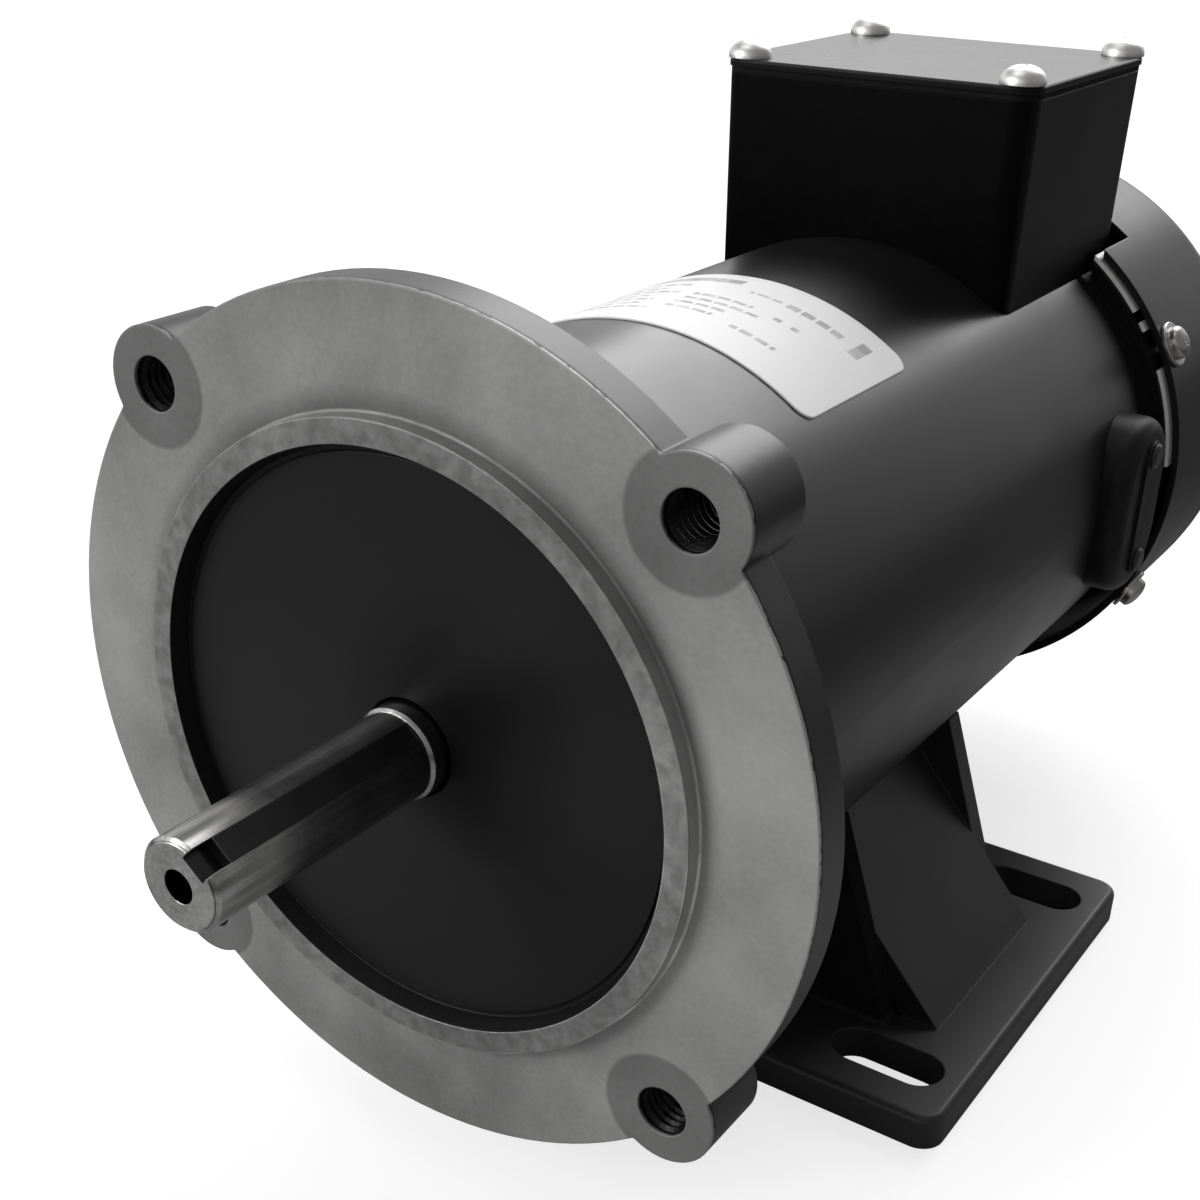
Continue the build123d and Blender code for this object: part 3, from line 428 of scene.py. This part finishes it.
def shaded_rear_end(made, specular):
    """Gloss of the tube, which fades out at its rear end as a painted shade in the gap before the cover."""
    return spread(made, parts_of(made)["Y"], *tube_shaded_end, specular, 0.0)


def lit_sides_shaded_ends(made, specular):
    """Gloss of the box: a painted light makes its two sides shine more than its ends, and a painted shade
    dulls the ends near the tube.
    """
    across = parts_of(made)
    # Painted shade low on the ends, and painted sheen on the sides.
    ends = spread(made, across["Z"], *box_shaded_foot, 0.0, specular)
    sides = spread(made, step(made, "ABSOLUTE", across["X"]), *box_side, 0.0, specular * box_side_sheen)
    return step(made, "MAXIMUM", ends, sides)


def shaded_front_gusset(made, specular):
    """Gloss of the base: the gusset under the flange stays matt black, a painted shade under the flange."""
    across = parts_of(made)
    # Painted shade: no gloss on the gusset under the flange.
    behind = rise(made, across["Y"], *front_gusset_end)
    low = fall(made, across["Z"], *foot_plate_top)
    return times(made, step(made, "MAXIMUM", behind, low), specular)


def lighter_foot(made):
    """Where the base's paint is lighter, a painted light: the foot plate is, and the pedestal is not."""
    return fall(made, parts_of(made)["Z"], *foot_light_end)


def make_black_paint(name, color, roughness, peel, specular, gloss_by=None, lighten_by=None):
    """Satin paint whose roughness drifts between two values over a fine peel."""
    made, shader = new_material(name, color, 0.0, roughness[0], specular)
    join(made, spread(made, noise(made, 40.0, 4.0), 0.3, 0.7, *roughness), shader.inputs["Roughness"])
    lighter = tuple(value * 1.6 + 0.001 for value in color)
    tone = mixed(made, noise(made, 300.0, 2.0), color, lighter)
    # Painted light: the foot plate's paint is made lighter.
    if lighten_by:
        tone = mixed(made, lighten_by(made), tone, lit_foot_paint)
    join(made, tone, shader.inputs["Base Color"])
    if gloss_by:
        join(made, gloss_by(made, specular), shader.inputs["Specular IOR Level"])
    surface(made, shader, noise(made, 1400.0, 2.0), peel, 0.03 * mm, 0.5 * mm)


tube_black = (0.006, 0.006, 0.0064)
box_black = (0.002, 0.002, 0.0023)
lid_black = (0.0055, 0.0055, 0.006)
cover_black = (0.008, 0.008, 0.0085)
base_black = (0.0075, 0.0075, 0.008)
# The numbers are the lowest and highest roughness, the strength of the peel and the specular level.
make_black_paint("tube_paint", tube_black, (0.3, 0.37), 0.25, 0.45, gloss_by=shaded_rear_end)
make_black_paint("box_paint", box_black, (0.3, 0.38), 0.3, 0.045, gloss_by=lit_sides_shaded_ends)
make_black_paint("lid_paint", lid_black, (0.26, 0.3), 0.06, 0.12)
make_black_paint("cover_paint", cover_black, (0.34, 0.4), 0.3, 0.2)
make_black_paint("base_paint", base_black, (0.38, 0.48), 0.4, 0.42, shaded_front_gusset, lighter_foot)
print("finishes", sorted(finishes))

# %% [markdown]
# Metals
#
# Turned steel has fine rings round its axis and streaks along it. Plated screws and washers have an
# even grain. Both get a little brighter on their edges, and the shaft has a painted shade inside its
# keyway and centre hole.

# %% Metals
def make_turned_steel(name, color, roughness, scratch, inside=None):
    """Turned steel: rings round the shaft axis, streaks along it, tarnish, and a painted shade inside its
    cuts.
    """
    made, shader = new_material(name, color, 1.0, roughness)
    rings = noise(made, 1.0, 2.0, stretched(made, (60, 5200, 60)))
    streaks = noise(made, 1.0, 3.0, stretched(made, (1500, 45, 1500)))
    wear = times(made, plus(made, noise(made, 130.0, 4.0), streaks), 0.5)
    darker = tuple(value * 0.45 for value in color)
    tone = mixed(made, spread(made, wear, 0.4, 0.65, 0.0, 0.75), color, darker)
    edges = edge_wear_and_highlight(made, 0.2 * mm, 0.85, 0.98)
    brighter = tuple(min(value * 1.6, 0.9) for value in color)
    tone = mixed(made, times(made, edges, 0.35), tone, brighter)
    if inside:
        radius, start = inside
        below = fall(made, radius_of(made), radius - 0.05 * mm, radius)
        behind = rise(made, parts_of(made)["Y"], start, start + 0.1 * mm)
        # A painted shade darkens the keyway and the centre hole.
        recess_shade = tuple(value * 0.12 for value in color)
        tone = mixed(made, times(made, below, behind), tone, recess_shade)
    join(made, tone, shader.inputs["Base Color"])
    join(made, spread(made, rings, 0.3, 0.7, roughness - 0.03, roughness + 0.05), shader.inputs["Roughness"])
    surface(made, shader, rings, scratch, 0.02 * mm, 0.25 * mm)


def make_plain_metal(name, color, roughness, grain_scale, strength):
    """Metal with a fine even grain, faint clouds and brighter edges."""
    made, shader = new_material(name, color, 1.0, roughness)
    cloud = noise(made, 220.0, 3.0)
    darker = tuple(value * 0.7 for value in color)
    tone = mixed(made, spread(made, cloud, 0.3, 0.75, 0.0, 0.8), color, darker)
    edges = edge_wear_and_highlight(made, 0.25 * mm, 0.85, 0.98)
    brighter = tuple(min(value * 3.0, 0.8) for value in color)
    join(made, mixed(made, times(made, edges, 0.6), tone, brighter), shader.inputs["Base Color"])
    join(made, spread(made, cloud, 0.3, 0.7, roughness, roughness + 0.12), shader.inputs["Roughness"])
    surface(made, shader, noise(made, grain_scale, 3.0), strength, 0.02 * mm, 0.2 * mm)


shaft_cut_radius = 7.4 * mm
shaft_cut_start = -52.3 * mm
# The numbers after the colour are the roughness and the strength of the turned rings.
make_turned_steel("shaft_steel", (0.5, 0.495, 0.49), 0.22, 0.06, (shaft_cut_radius, shaft_cut_start))
make_turned_steel("bearing_steel", (0.6, 0.6, 0.6), 0.16, 0.1)
make_turned_steel("lamination", (0.25, 0.245, 0.24), 0.45, 0.8)
make_turned_steel("copper", (0.6, 0.3, 0.17), 0.28, 0.2)
make_turned_steel("thread", (0.015, 0.015, 0.015), 0.35, 0.1)
# The numbers after the colour are the roughness, the grain's scale and its strength.
make_plain_metal("key_steel", (0.08, 0.08, 0.08), 0.36, 1500.0, 0.2)
make_plain_metal("zinc_steel", (0.66, 0.65, 0.64), 0.24, 1800.0, 0.15)
make_plain_metal("dull_zinc", (0.74, 0.73, 0.72), 0.34, 1800.0, 0.15)
make_plain_metal("worn_zinc", (0.42, 0.41, 0.4), 0.26, 900.0, 0.4)
make_plain_metal("winding", (0.32, 0.1, 0.035), 0.3, 1400.0, 0.8)
print("finishes", len(finishes))

# %% [markdown]
# Plastics, rubber and carbon
#
# Moulded and pressed parts have one even colour with a light cloud and a fine grain.

# %% Plastics, rubber and carbon
def make_moulded(name, color, roughness, grain_scale, strength, specular=0.5):
    """Moulded or pressed matter: even colour with a light cloud and a fine grain."""
    made, shader = new_material(name, color, 0.0, roughness, specular)
    lighter = tuple(min(value * 1.35 + 0.004, 1.0) for value in color)
    join(made, mixed(made, noise(made, 180.0, 3.0), color, lighter), shader.inputs["Base Color"])
    uneven = spread(made, noise(made, 90.0, 2.0), 0.3, 0.7, roughness, roughness + 0.1)
    join(made, uneven, shader.inputs["Roughness"])
    surface(made, shader, noise(made, grain_scale, 3.0), strength, 0.04 * mm, 0.3 * mm)


# The numbers after the colour are the roughness, the grain's scale and its strength, then the specular level.
make_moulded("ferrite", (0.03, 0.03, 0.032), 0.6, 900.0, 0.5)
make_moulded("rubber", (0.004, 0.004, 0.004), 0.7, 700.0, 0.4, 0.1)
make_moulded("black_plastic", (0.007, 0.007, 0.007), 0.4, 1100.0, 0.35, 0.15)
make_moulded("phenolic", (0.09, 0.035, 0.015), 0.45, 800.0, 0.4)
make_moulded("carbon", (0.02, 0.02, 0.021), 0.5, 1500.0, 0.5)
make_moulded("lead_skin", (0.35, 0.012, 0.01), 0.4, 500.0, 0.1)
make_moulded("painted_screw", (0.012, 0.012, 0.012), 0.35, 1500.0, 0.2)
print("finishes", len(finishes))

# %% [markdown]
# The rear bell's bare rim
#
# The rim that carries the fan cover was turned after painting, so bright metal shows in the gap
# between the tube and the cover. The switch is again the distance from the shaft axis.

# %% Rear bell with bare rim
rim_edge = (60.9 * mm, 61.0 * mm)
rim_dark = (0.5, 0.49, 0.48)
rim_light = (0.72, 0.71, 0.7)


def make_rear_bell_finish():
    """Black paint with a bare turned rim."""
    made, shader = new_material("painted_rear_bell", bell_paint, 0.0, 0.45, 0.15)
    bare = rise(made, radius_of(made), *rim_edge)
    grain = noise(made, 700.0, 3.0)
    rings = noise(made, 1.0, 2.0, stretched(made, (90, 4200, 90)))
    metal = mixed(made, grain, rim_dark, rim_light)
    join(made, mixed(made, bare, bell_paint, metal), shader.inputs["Base Color"])
    join(made, times(made, bare, 0.8), shader.inputs["Metallic"])
    join(made, spread(made, rings, 0.3, 0.7, 0.35, 0.5), shader.inputs["Roughness"])
    surface(made, shader, grain, 0.3, 0.03 * mm, 0.3 * mm)


make_rear_bell_finish()
print("rear bell finish nodes", len(finishes["painted_rear_bell"].node_tree.nodes))

# %% [markdown]
# The rating label
#
# A rating label is a thin film that wraps round the tube. Its print isn't copied: a heading bar, rows
# of thin grey bars and two blocks stand for it. The bars run round the tube, so one coordinate is the
# angle about the shaft axis times the radius, and the other is the place along the axis. Small gaps
# break most bars into words, and move a little from row to row.

# %% Label
label_radius = 57.5 * mm
label_ink = (0.2, 0.2, 0.2)
film_dark = (0.86, 0.86, 0.86)
film_light = (0.93, 0.93, 0.93)
# Each bar: its start and end round the tube and its low and high edge along it, in mm, then if it has gaps.
label_bars = [
    (-21.0, 1.0, 103.2, 106.2, False), (5.0, 12.0, 99.6, 100.7, True), (13.0, 26.0, 99.0, 101.2, True),
    (-23.0, -7.0, 98.4, 99.9, True), (-23.0, -11.0, 95.0, 96.4, True), (-23.0, -6.0, 91.6, 93.0, True),
    (-23.0, -11.0, 88.2, 89.6, True), (-23.0, -8.0, 84.8, 86.2, True), (-23.0, -9.0, 81.4, 82.8, True),
    (-23.0, -5.0, 78.0, 79.4, True), (-3.0, 10.0, 91.6, 93.0, True), (-3.0, 13.0, 88.2, 89.6, True),
    (-3.0, 8.0, 84.8, 86.2, True), (-3.0, 7.0, 81.4, 82.8, True), (15.0, 16.6, 91.0, 92.6, False),
    (19.0, 20.6, 91.0, 92.6, False), (12.0, 22.0, 79.5, 81.0, True), (29.0, 31.5, 97.0, 104.0, False),
]
bar_soft = 0.06 * mm
row_pitch = 3.4 * mm
row_shift = 1.3 * mm
word_length = 3.4 * mm
word_end = (0.78, 0.82)
fading = (0.35, 0.75)


def make_label_finish():
    """White film with faded grey bars."""
    made, shader = new_material("label_film", (0.8, 0.8, 0.8), 0.0, 0.5, 0.25)
    across = parts_of(made)
    around = times(made, step(made, "ARCTAN2", across["X"], across["Z"]), label_radius)
    row_number = step(made, "FLOOR", step(made, "DIVIDE", across["Y"], row_pitch))
    shifted = plus(made, around, times(made, row_number, row_shift))
    word_place = step(made, "FRACT", step(made, "DIVIDE", shifted, word_length))
    words = fall(made, word_place, *word_end)
    printed = 0.0
    for start, end, low, high, has_gaps in label_bars:
        along = band(made, around, start * mm, end * mm, bar_soft)
        bar = times(made, along, band(made, across["Y"], low * mm, high * mm, bar_soft))
        if has_gaps:
            bar = times(made, bar, words)
        printed = step(made, "MAXIMUM", printed, bar)
    faded = times(made, printed, spread(made, noise(made, 260.0, 2.0), 0.35, 0.65, *fading))
    film = mixed(made, noise(made, 60.0, 3.0), film_dark, film_light)
    join(made, mixed(made, faded, film, label_ink), shader.inputs["Base Color"])
    surface(made, shader, noise(made, 500.0, 2.0), 0.1, 0.02 * mm, 0.2 * mm)


make_label_finish()
print("label bars", len(label_bars), "finish nodes", len(finishes["label_film"].node_tree.nodes))

# %% [markdown]
# A finish for every node
#
# The construction model brings plain solids. Each gets one finish by its name. Pieces made further
# down take theirs from the same table.

# %% Assign finishes to the nodes
nodes_of = {
    "cast_face": ["front_end_bell"],
    "tube_paint": ["motor_tube"],
    "box_paint": ["conduit_box"],
    "lid_paint": ["conduit_box_lid"],
    "cover_paint": ["fan_cover"],
    "base_paint": ["foot_base"],
    "painted_rear_bell": ["rear_end_bell"],
    "label_film": ["nameplate"],
    "shaft_steel": ["shaft"],
    "key_steel": ["shaft_key"],
    "zinc_steel": [
        "through_bolts", "wave_washer", "fan_retaining_ring", "brush_spring_right", "brush_spring_left",
        "fan_cover_screws", "lid_screws", "box_screws", "earth_screw",
    ],
    "bearing_steel": [
        "front_bearing_outer", "front_bearing_inner", "front_bearing_balls",
        "rear_bearing_outer", "rear_bearing_inner", "rear_bearing_balls",
    ],
    "lamination": ["armature_core"],
    "winding": ["armature_windings"],
    "copper": ["commutator"],
    "ferrite": ["field_magnets"],
    "rubber": ["shaft_seal", "conduit_box_gasket", "lead_grommet"],
    "black_plastic": ["cooling_fan", "brush_covers"],
    "phenolic": ["brush_holders"],
    "carbon": ["brush_right", "brush_left"],
    "lead_skin": ["lead_wires"],
    "painted_screw": ["brush_cover_screws"],
}
dressed = []
for finish, node_names in nodes_of.items():
    for node_name in node_names:
        slots = nodes[node_name].data.materials
        slots.clear()
        slots.append(finishes[finish])
        dressed.append(node_name)
print("nodes with a finish", len(dressed), "of", len(nodes), "left bare", sorted(set(nodes) - set(dressed)))

# %% [markdown]
# Making a piece
#
# Every new piece goes the same way: its bmesh is cleaned, becomes a mesh, gets a finish, and rides on
# the body of the motor that it belongs to.

# %% Helper for new pieces
same_point = 0.002 * mm


def finish_piece(name, bm, finish, body, smooth=True):
    """Object from a bmesh, with clean doubles and normals, its finish and the body that it rides on."""
    bmesh.ops.remove_doubles(bm, verts=bm.verts, dist=same_point)
    bmesh.ops.recalc_face_normals(bm, faces=bm.faces)
    mesh = bpy.data.meshes.new(name)
    bm.to_mesh(mesh)
    bm.free()
    for face in mesh.polygons:
        face.use_smooth = smooth
    piece = bpy.data.objects.new(name, mesh)
    bpy.context.scene.collection.objects.link(piece)
    mesh.materials.append(finishes[finish])
    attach(piece, body)
    print(name, "faces", len(mesh.polygons))
    return piece


# %% [markdown]
# Threads in the four mounting holes
#
# A tapped hole looks like a stack of dark ridges. A small profile beside the hole's wall, swept round
# the hole's axis and along it at once, gives one long ridge. bmesh's spin does that with its dvec value,
# which moves the profile a little at each step. The profile's base lies just inside the wall.

# %% Thread ridges
thread_pitch = 1.5875 * mm
thread_outer = 4.85 * mm
thread_inner = 4.05 * mm
thread_crest = (0.44 * thread_pitch, 0.56 * thread_pitch)
thread_start = 0.7 * mm
thread_turns = 9
thread_steps_per_turn = 28


def add_thread(bm, x, z):
    """One ridge in a hole along +Y at x, z."""
    corners = [
        (thread_outer, 0.0),
        (thread_inner, thread_crest[0]),
        (thread_inner, thread_crest[1]),
        (thread_outer, thread_pitch),
    ]
    verts = [bm.verts.new((x + radius, thread_start + along, z)) for radius, along in corners]
    profile = bm.faces.new(verts)
    bmesh.ops.spin(
        bm,
        geom=[profile, *profile.edges, *profile.verts],
        cent=(x, 0, z),
        axis=(0, 1, 0),
        dvec=(0, thread_pitch / thread_steps_per_turn, 0),
        angle=2 * pi * thread_turns,
        steps=thread_turns * thread_steps_per_turn,
        use_duplicate=False,
    )


thread_bm = bmesh.new()
for side in (-1, 1):
    for level in (-1, 1):
        add_thread(thread_bm, side * bolt_circle_half, level * bolt_circle_half)
finish_piece("face_hole_threads", thread_bm, "thread", "stator", smooth=False)

# %% [markdown]
# Screw heads with a cross recess
#
# The screws on the box lid and the fan cover have domed heads with a cross recess. The dome is a
# profile of a few points spun round its axis. The recess is cut by a Boolean modifier with two crossed
# wedges, and the result is kept as the screw's mesh, then copied to each place.

# %% Screw mesh
head_points = 7
spin_steps = 32
tip_radius_share = 0.8
tip_start_share = 0.93
recess_width_share = 0.42
recess_tip_shares = (0.45, 0.7)
recess_height_share = 0.95


def spin_outline(bm, verts, closed, centre, axis):
    """Turn a chain of vertices once round an axis."""
    chain = verts + verts[:1] if closed else verts
    edges = [bm.edges.new(pair) for pair in zip(chain, chain[1:])]
    bmesh.ops.spin(
        bm,
        geom=verts + edges,
        cent=centre,
        axis=axis,
        angle=2 * pi,
        steps=spin_steps,
        use_merge=True,
    )


def screw_body(head_radius, head_height, rim_height, shank_radius, shank_length):
    """Bmesh of a plain domed screw along -Z with the underside of its head at the origin."""
    bm = bmesh.new()
    outline = [
        (0.0, -shank_length),
        (shank_radius * tip_radius_share, -shank_length),
        (shank_radius, -shank_length * tip_start_share),
        (shank_radius, 0.0),
        (head_radius, 0.0),
    ]
    for index in range(head_points + 1):
        angle = pi / 2 * index / head_points
        outline.append((head_radius * cos(angle), rim_height + (head_height - rim_height) * sin(angle)))
    verts = [bm.verts.new((radius, 0, height)) for radius, height in outline]
    spin_outline(bm, verts, False, (0, 0, 0), (0, 0, 1))
    bmesh.ops.remove_doubles(bm, verts=bm.verts, dist=same_point)
    bmesh.ops.recalc_face_normals(bm, faces=bm.faces)
    return bm


def cross_cutter(recess, head_height):
    """Bmesh of two crossed wedges that narrow downwards, at the height of a screw's dome."""
    bm = bmesh.new()
    for turn in (0, pi / 2):
        wedge = bmesh.ops.create_cube(bm, size=1.0)["verts"]
        bmesh.ops.scale(bm, verts=wedge, vec=(recess * 2, recess * recess_width_share, head_height))
        for vert in wedge:
            if vert.co.z < 0:
                vert.co.x *= recess_tip_shares[0]
                vert.co.y *= recess_tip_shares[1]
        bmesh.ops.rotate(bm, verts=wedge, cent=(0, 0, 0), matrix=Matrix.Rotation(turn, 3, "Z"))
    bmesh.ops.translate(bm, verts=bm.verts, vec=(0, 0, head_height * recess_height_share))
    return bm


def domed_screw_mesh(name, head_radius, head_height, rim_height, shank_radius, shank_length, recess):
    """Mesh of a domed screw with a cross recess."""
    helpers = []
    body = screw_body(head_radius, head_height, rim_height, shank_radius, shank_length)
    for label, bm in ((name, body), (name + "_cutter", cross_cutter(recess, head_height))):
        mesh = bpy.data.meshes.new(label)
        bm.to_mesh(mesh)
        bm.free()
        helper = bpy.data.objects.new(label, mesh)
        bpy.context.scene.collection.objects.link(helper)
        helpers.append(helper)
    head, cutter = helpers
    cut = head.modifiers.new("recess", "BOOLEAN")
    cut.object = cutter
    cut.operation = "DIFFERENCE"
    cut.solver = "EXACT"
    cut.use_self = True
    bpy.context.view_layer.update()
    ready = bpy.data.meshes.new_from_object(head.evaluated_get(bpy.context.evaluated_depsgraph_get()))
    for helper in helpers:
        bpy.data.objects.remove(helper)
    print(name, "mesh faces", len(ready.polygons))
    return ready


# %% [markdown]
# Screws in their places
#
# One piece holds all screws of a kind.

# %% Placing the screws
crease_angle = radians(32)
washer_chamfer_share = 0.25


def add_washer(bm, inner, outer, top, thickness, place):
    """Flat washer with broken edges, its upper face at a height."""
    chamfer = thickness * washer_chamfer_share
    outline = [
        (inner, top),
        (outer - chamfer, top),
        (outer, top - chamfer),
        (outer, top - thickness),
        (inner, top - thickness),
    ]
    verts = [bm.verts.new(place @ Vector((radius, 0, height))) for radius, height in outline]
    spin_outline(bm, verts, True, place @ Vector((0, 0, 0)), place.to_3x3() @ Vector((0, 0, 1)))


def place_screws(name, mesh, places, node, finish, washer=None):
    """Piece with a copy of the screw at each place, standing for the plain node."""
    bm = bmesh.new()
    if washer:
        for place in places:
            add_washer(bm, *washer, place)
    for place in places:
        before = len(bm.verts)
        bm.from_mesh(mesh)
        bm.verts.ensure_lookup_table()
        bmesh.ops.transform(bm, matrix=place, verts=bm.verts[before:])
    piece = finish_piece(name, bm, finish, "stator")
    piece.data.set_sharp_from_angle(angle=crease_angle)
    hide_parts(node)


# %% Lid screws
lid_top = 91.15 * mm
lid_screw_side = 31.3 * mm
lid_screw_rows = ((159.4 * mm, 20), (218.0 * mm, 55))
lid_side_turn = 30
lid_screw_mesh = domed_screw_mesh(
    "lid_screw",
    head_radius=4.7 * mm,
    head_height=3.7 * mm,
    rim_height=0.5 * mm,
    shank_radius=2.0 * mm,
    shank_length=11.8 * mm,
    recess=1.5 * mm,
)
lid_places = []
for side in (-1, 1):
    for station, turn in lid_screw_rows:
        turned = Matrix.Rotation(radians(turn + lid_side_turn * side), 4, "Z")
        lid_places.append(Matrix.Translation((side * lid_screw_side, station, lid_top)) @ turned)
place_screws("lid_cross_screws", lid_screw_mesh, lid_places, "lid_screws", "dull_zinc")

# %% Fan cover screws
cover_seat = 64.1 * mm
cover_screw_station = 213.0 * mm
cover_screw_angles = (61, -61, 119, -119)
cover_screw_mesh = domed_screw_mesh(
    "cover_screw",
    head_radius=3.8 * mm,
    head_height=2.8 * mm,
    rim_height=1.2 * mm,
    shank_radius=2.0 * mm,
    shank_length=7.4 * mm,
    recess=1.6 * mm,
)
# The washer's inner and outer radius, the height of its upper face and its thickness.
cover_washer = (2.1 * mm, 5.3 * mm, 0.0, 0.9 * mm)
cover_places = []
for angle in cover_screw_angles:
    outward = Matrix.Rotation(radians(angle), 4, "Y")
    cover_places.append(outward @ Matrix.Translation((0, cover_screw_station, cover_seat)))
place_screws(
    "cover_cross_screws", cover_screw_mesh, cover_places, "fan_cover_screws", "worn_zinc", cover_washer
)

# %% [markdown]
# Brush springs
#
# Each brush can slide outwards in its holder, and the coil spring behind it must shorten by as much.
# Two coils of the same size stand for the rigid CAD springs here, and they don't shorten either.

# %% Brush springs
brush_station = 187.0 * mm
coil_start = 39.05 * mm
coil_length = 12.15 * mm
coil_radius = 3.55 * mm
coil_turns = 5
coil_steps_per_turn = 32
wire_radius = 0.45 * mm
wire_sides = 10


def make_brush_spring(name, side, node):
    """Coil on one side, side being 1 at +X and -1 at -X."""
    bm = bmesh.new()
    upright = Matrix.Rotation(radians(90), 4, "X")
    start = Matrix.Translation((side * coil_start, brush_station, coil_radius)) @ upright
    bmesh.ops.create_circle(bm, cap_ends=True, segments=wire_sides, radius=wire_radius, matrix=start)
    steps = coil_turns * coil_steps_per_turn
    bmesh.ops.spin(
        bm,
        geom=[*bm.faces, *bm.edges, *bm.verts],
        cent=(0, brush_station, 0),
        axis=(1, 0, 0),
        dvec=(side * coil_length / steps, 0, 0),
        angle=side * 2 * pi * coil_turns,
        steps=steps,
        use_duplicate=False,
    )
    bmesh.ops.holes_fill(bm, edges=[edge for edge in bm.edges if edge.is_boundary])
    spring = finish_piece(name, bm, "zinc_steel", "stator")
    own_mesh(spring)
    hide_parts(node)
    reach = [vertex.co.x / mm for vertex in spring.data.vertices]
    print(name, "from x", round(min(reach), 2), "to", round(max(reach), 2), "mm")


make_brush_spring("right_brush_coil", 1, "brush_spring_right")
make_brush_spring("left_brush_coil", -1, "brush_spring_left")

# %% [markdown]
# The floor
#
# The floor is a grey sheet far larger than the motor. Its own glow, which only the camera sees, lifts
# it to near white, more so further away, and leaves the motor's soft shadow. It is darker further away
# for every other ray, so that it doesn't light up the glossy paint.

# %% Floor
floor_half = 8.0
floor_grey = (0.42, 0.1)
floor_grey_reach = (0.22, 0.45)
floor_glow = (0.72, 1.0)
floor_glow_reach = (0.2, 0.65)

floor_mesh = bpy.data.meshes.new("floor")
floor_bm = bmesh.new()
bmesh.ops.create_grid(floor_bm, x_segments=1, y_segments=1, size=floor_half)
bmesh.ops.translate(floor_bm, verts=floor_bm.verts, vec=(0, 0, cad_low.z))
floor_bm.to_mesh(floor_mesh)
floor_bm.free()
floor = bpy.data.objects.new("floor", floor_mesh)
bpy.context.scene.collection.objects.link(floor)

floor_finish, floor_shader = new_material("floor_finish", (0.33, 0.33, 0.33), 0.0, 0.8, 0.2)
floor_shader.inputs["Emission Color"].default_value = (1, 1, 1, 1)
from_middle = radius_of(floor_finish, (1, 1, 0))
grey = spread(floor_finish, from_middle, *floor_grey_reach, *floor_grey)
grey_color = add(floor_finish, "ShaderNodeCombineColor", {0: grey, 1: grey, 2: grey}).outputs[0]
join(floor_finish, grey_color, floor_shader.inputs["Base Color"])
camera_ray = add(floor_finish, "ShaderNodeLightPath").outputs["Is Camera Ray"]
glow = spread(floor_finish, from_middle, *floor_glow_reach, *floor_glow)
join(floor_finish, times(floor_finish, camera_ray, glow), floor_shader.inputs["Emission Strength"])
floor_mesh.materials.append(floor_finish)
print("floor at z", round(cad_low.z / mm, 1), "mm")

# %% [markdown]
# The background
#
# The background is white for the camera. In reflections it is white near the horizon and darker
# overhead and to the right, as in a studio with a dark ceiling, so that dark paint stays dark. All
# other rays get a low, even light.

# %% World
ambient = 0.3
ceiling_reach = (0.3, 0.75)
ceiling_light = (1.0, 0.25)
right_reach = (0.2, 0.6)
right_light = (1.0, 0.22)

world = bpy.data.worlds.new("studio")
bpy.context.scene.world = world
world.use_nodes = True
background = world.node_tree.nodes["Background"]
background.inputs["Color"].default_value = (1, 1, 1, 1)
direction = add(world, "ShaderNodeTexCoord").outputs["Generated"]
heading = add(world, "ShaderNodeSeparateXYZ", {0: direction}).outputs
upwards = spread(world, heading["Z"], *ceiling_reach, *ceiling_light)
rightwards = spread(world, heading["X"], *right_reach, *right_light)
path = add(world, "ShaderNodeLightPath").outputs
mirrored = times(world, path["Is Glossy Ray"], times(world, upwards, rightwards))
plain = step(world, "MAXIMUM", path["Is Camera Ray"], path["Is Transmission Ray"])
seen = step(world, "MAXIMUM", step(world, "MAXIMUM", plain, mirrored), ambient)
join(world, seen, background.inputs["Strength"])
print("background nodes", len(world.node_tree.nodes))

# %% [markdown]
# The lamps
#
# A soft box above and behind gives the long highlight on the tube, and one in front to the left lights
# the face. A weak one overhead fills in between. The camera doesn't see them.

# %% Lamps
def add_lamp(name, place, target, size, power):
    """Square soft box that looks at a target."""
    data = bpy.data.lights.new(name, "AREA")
    data.shape = "SQUARE"
    data.size = size
    data.energy = power
    lamp = bpy.data.objects.new(name, data)
    lamp.location = place
    lamp.rotation_euler = (Vector(target) - Vector(place)).to_track_quat("-Z", "Y").to_euler()
    lamp.visible_camera = False
    bpy.context.scene.collection.objects.link(lamp)
    print("lamp", name, "power", power, "W")


add_lamp("back_top", place=(-0.2, 1.1, 0.85), target=(0, 0.1, 0), size=1.0, power=14.0)
add_lamp("overhead", place=(-0.3, 0.0, 1.2), target=(0, 0.1, 0), size=0.7, power=2.5)
add_lamp("front_left", place=(-0.9, -1.1, 0.6), target=(0, 0.05, 0), size=0.8, power=15.0)
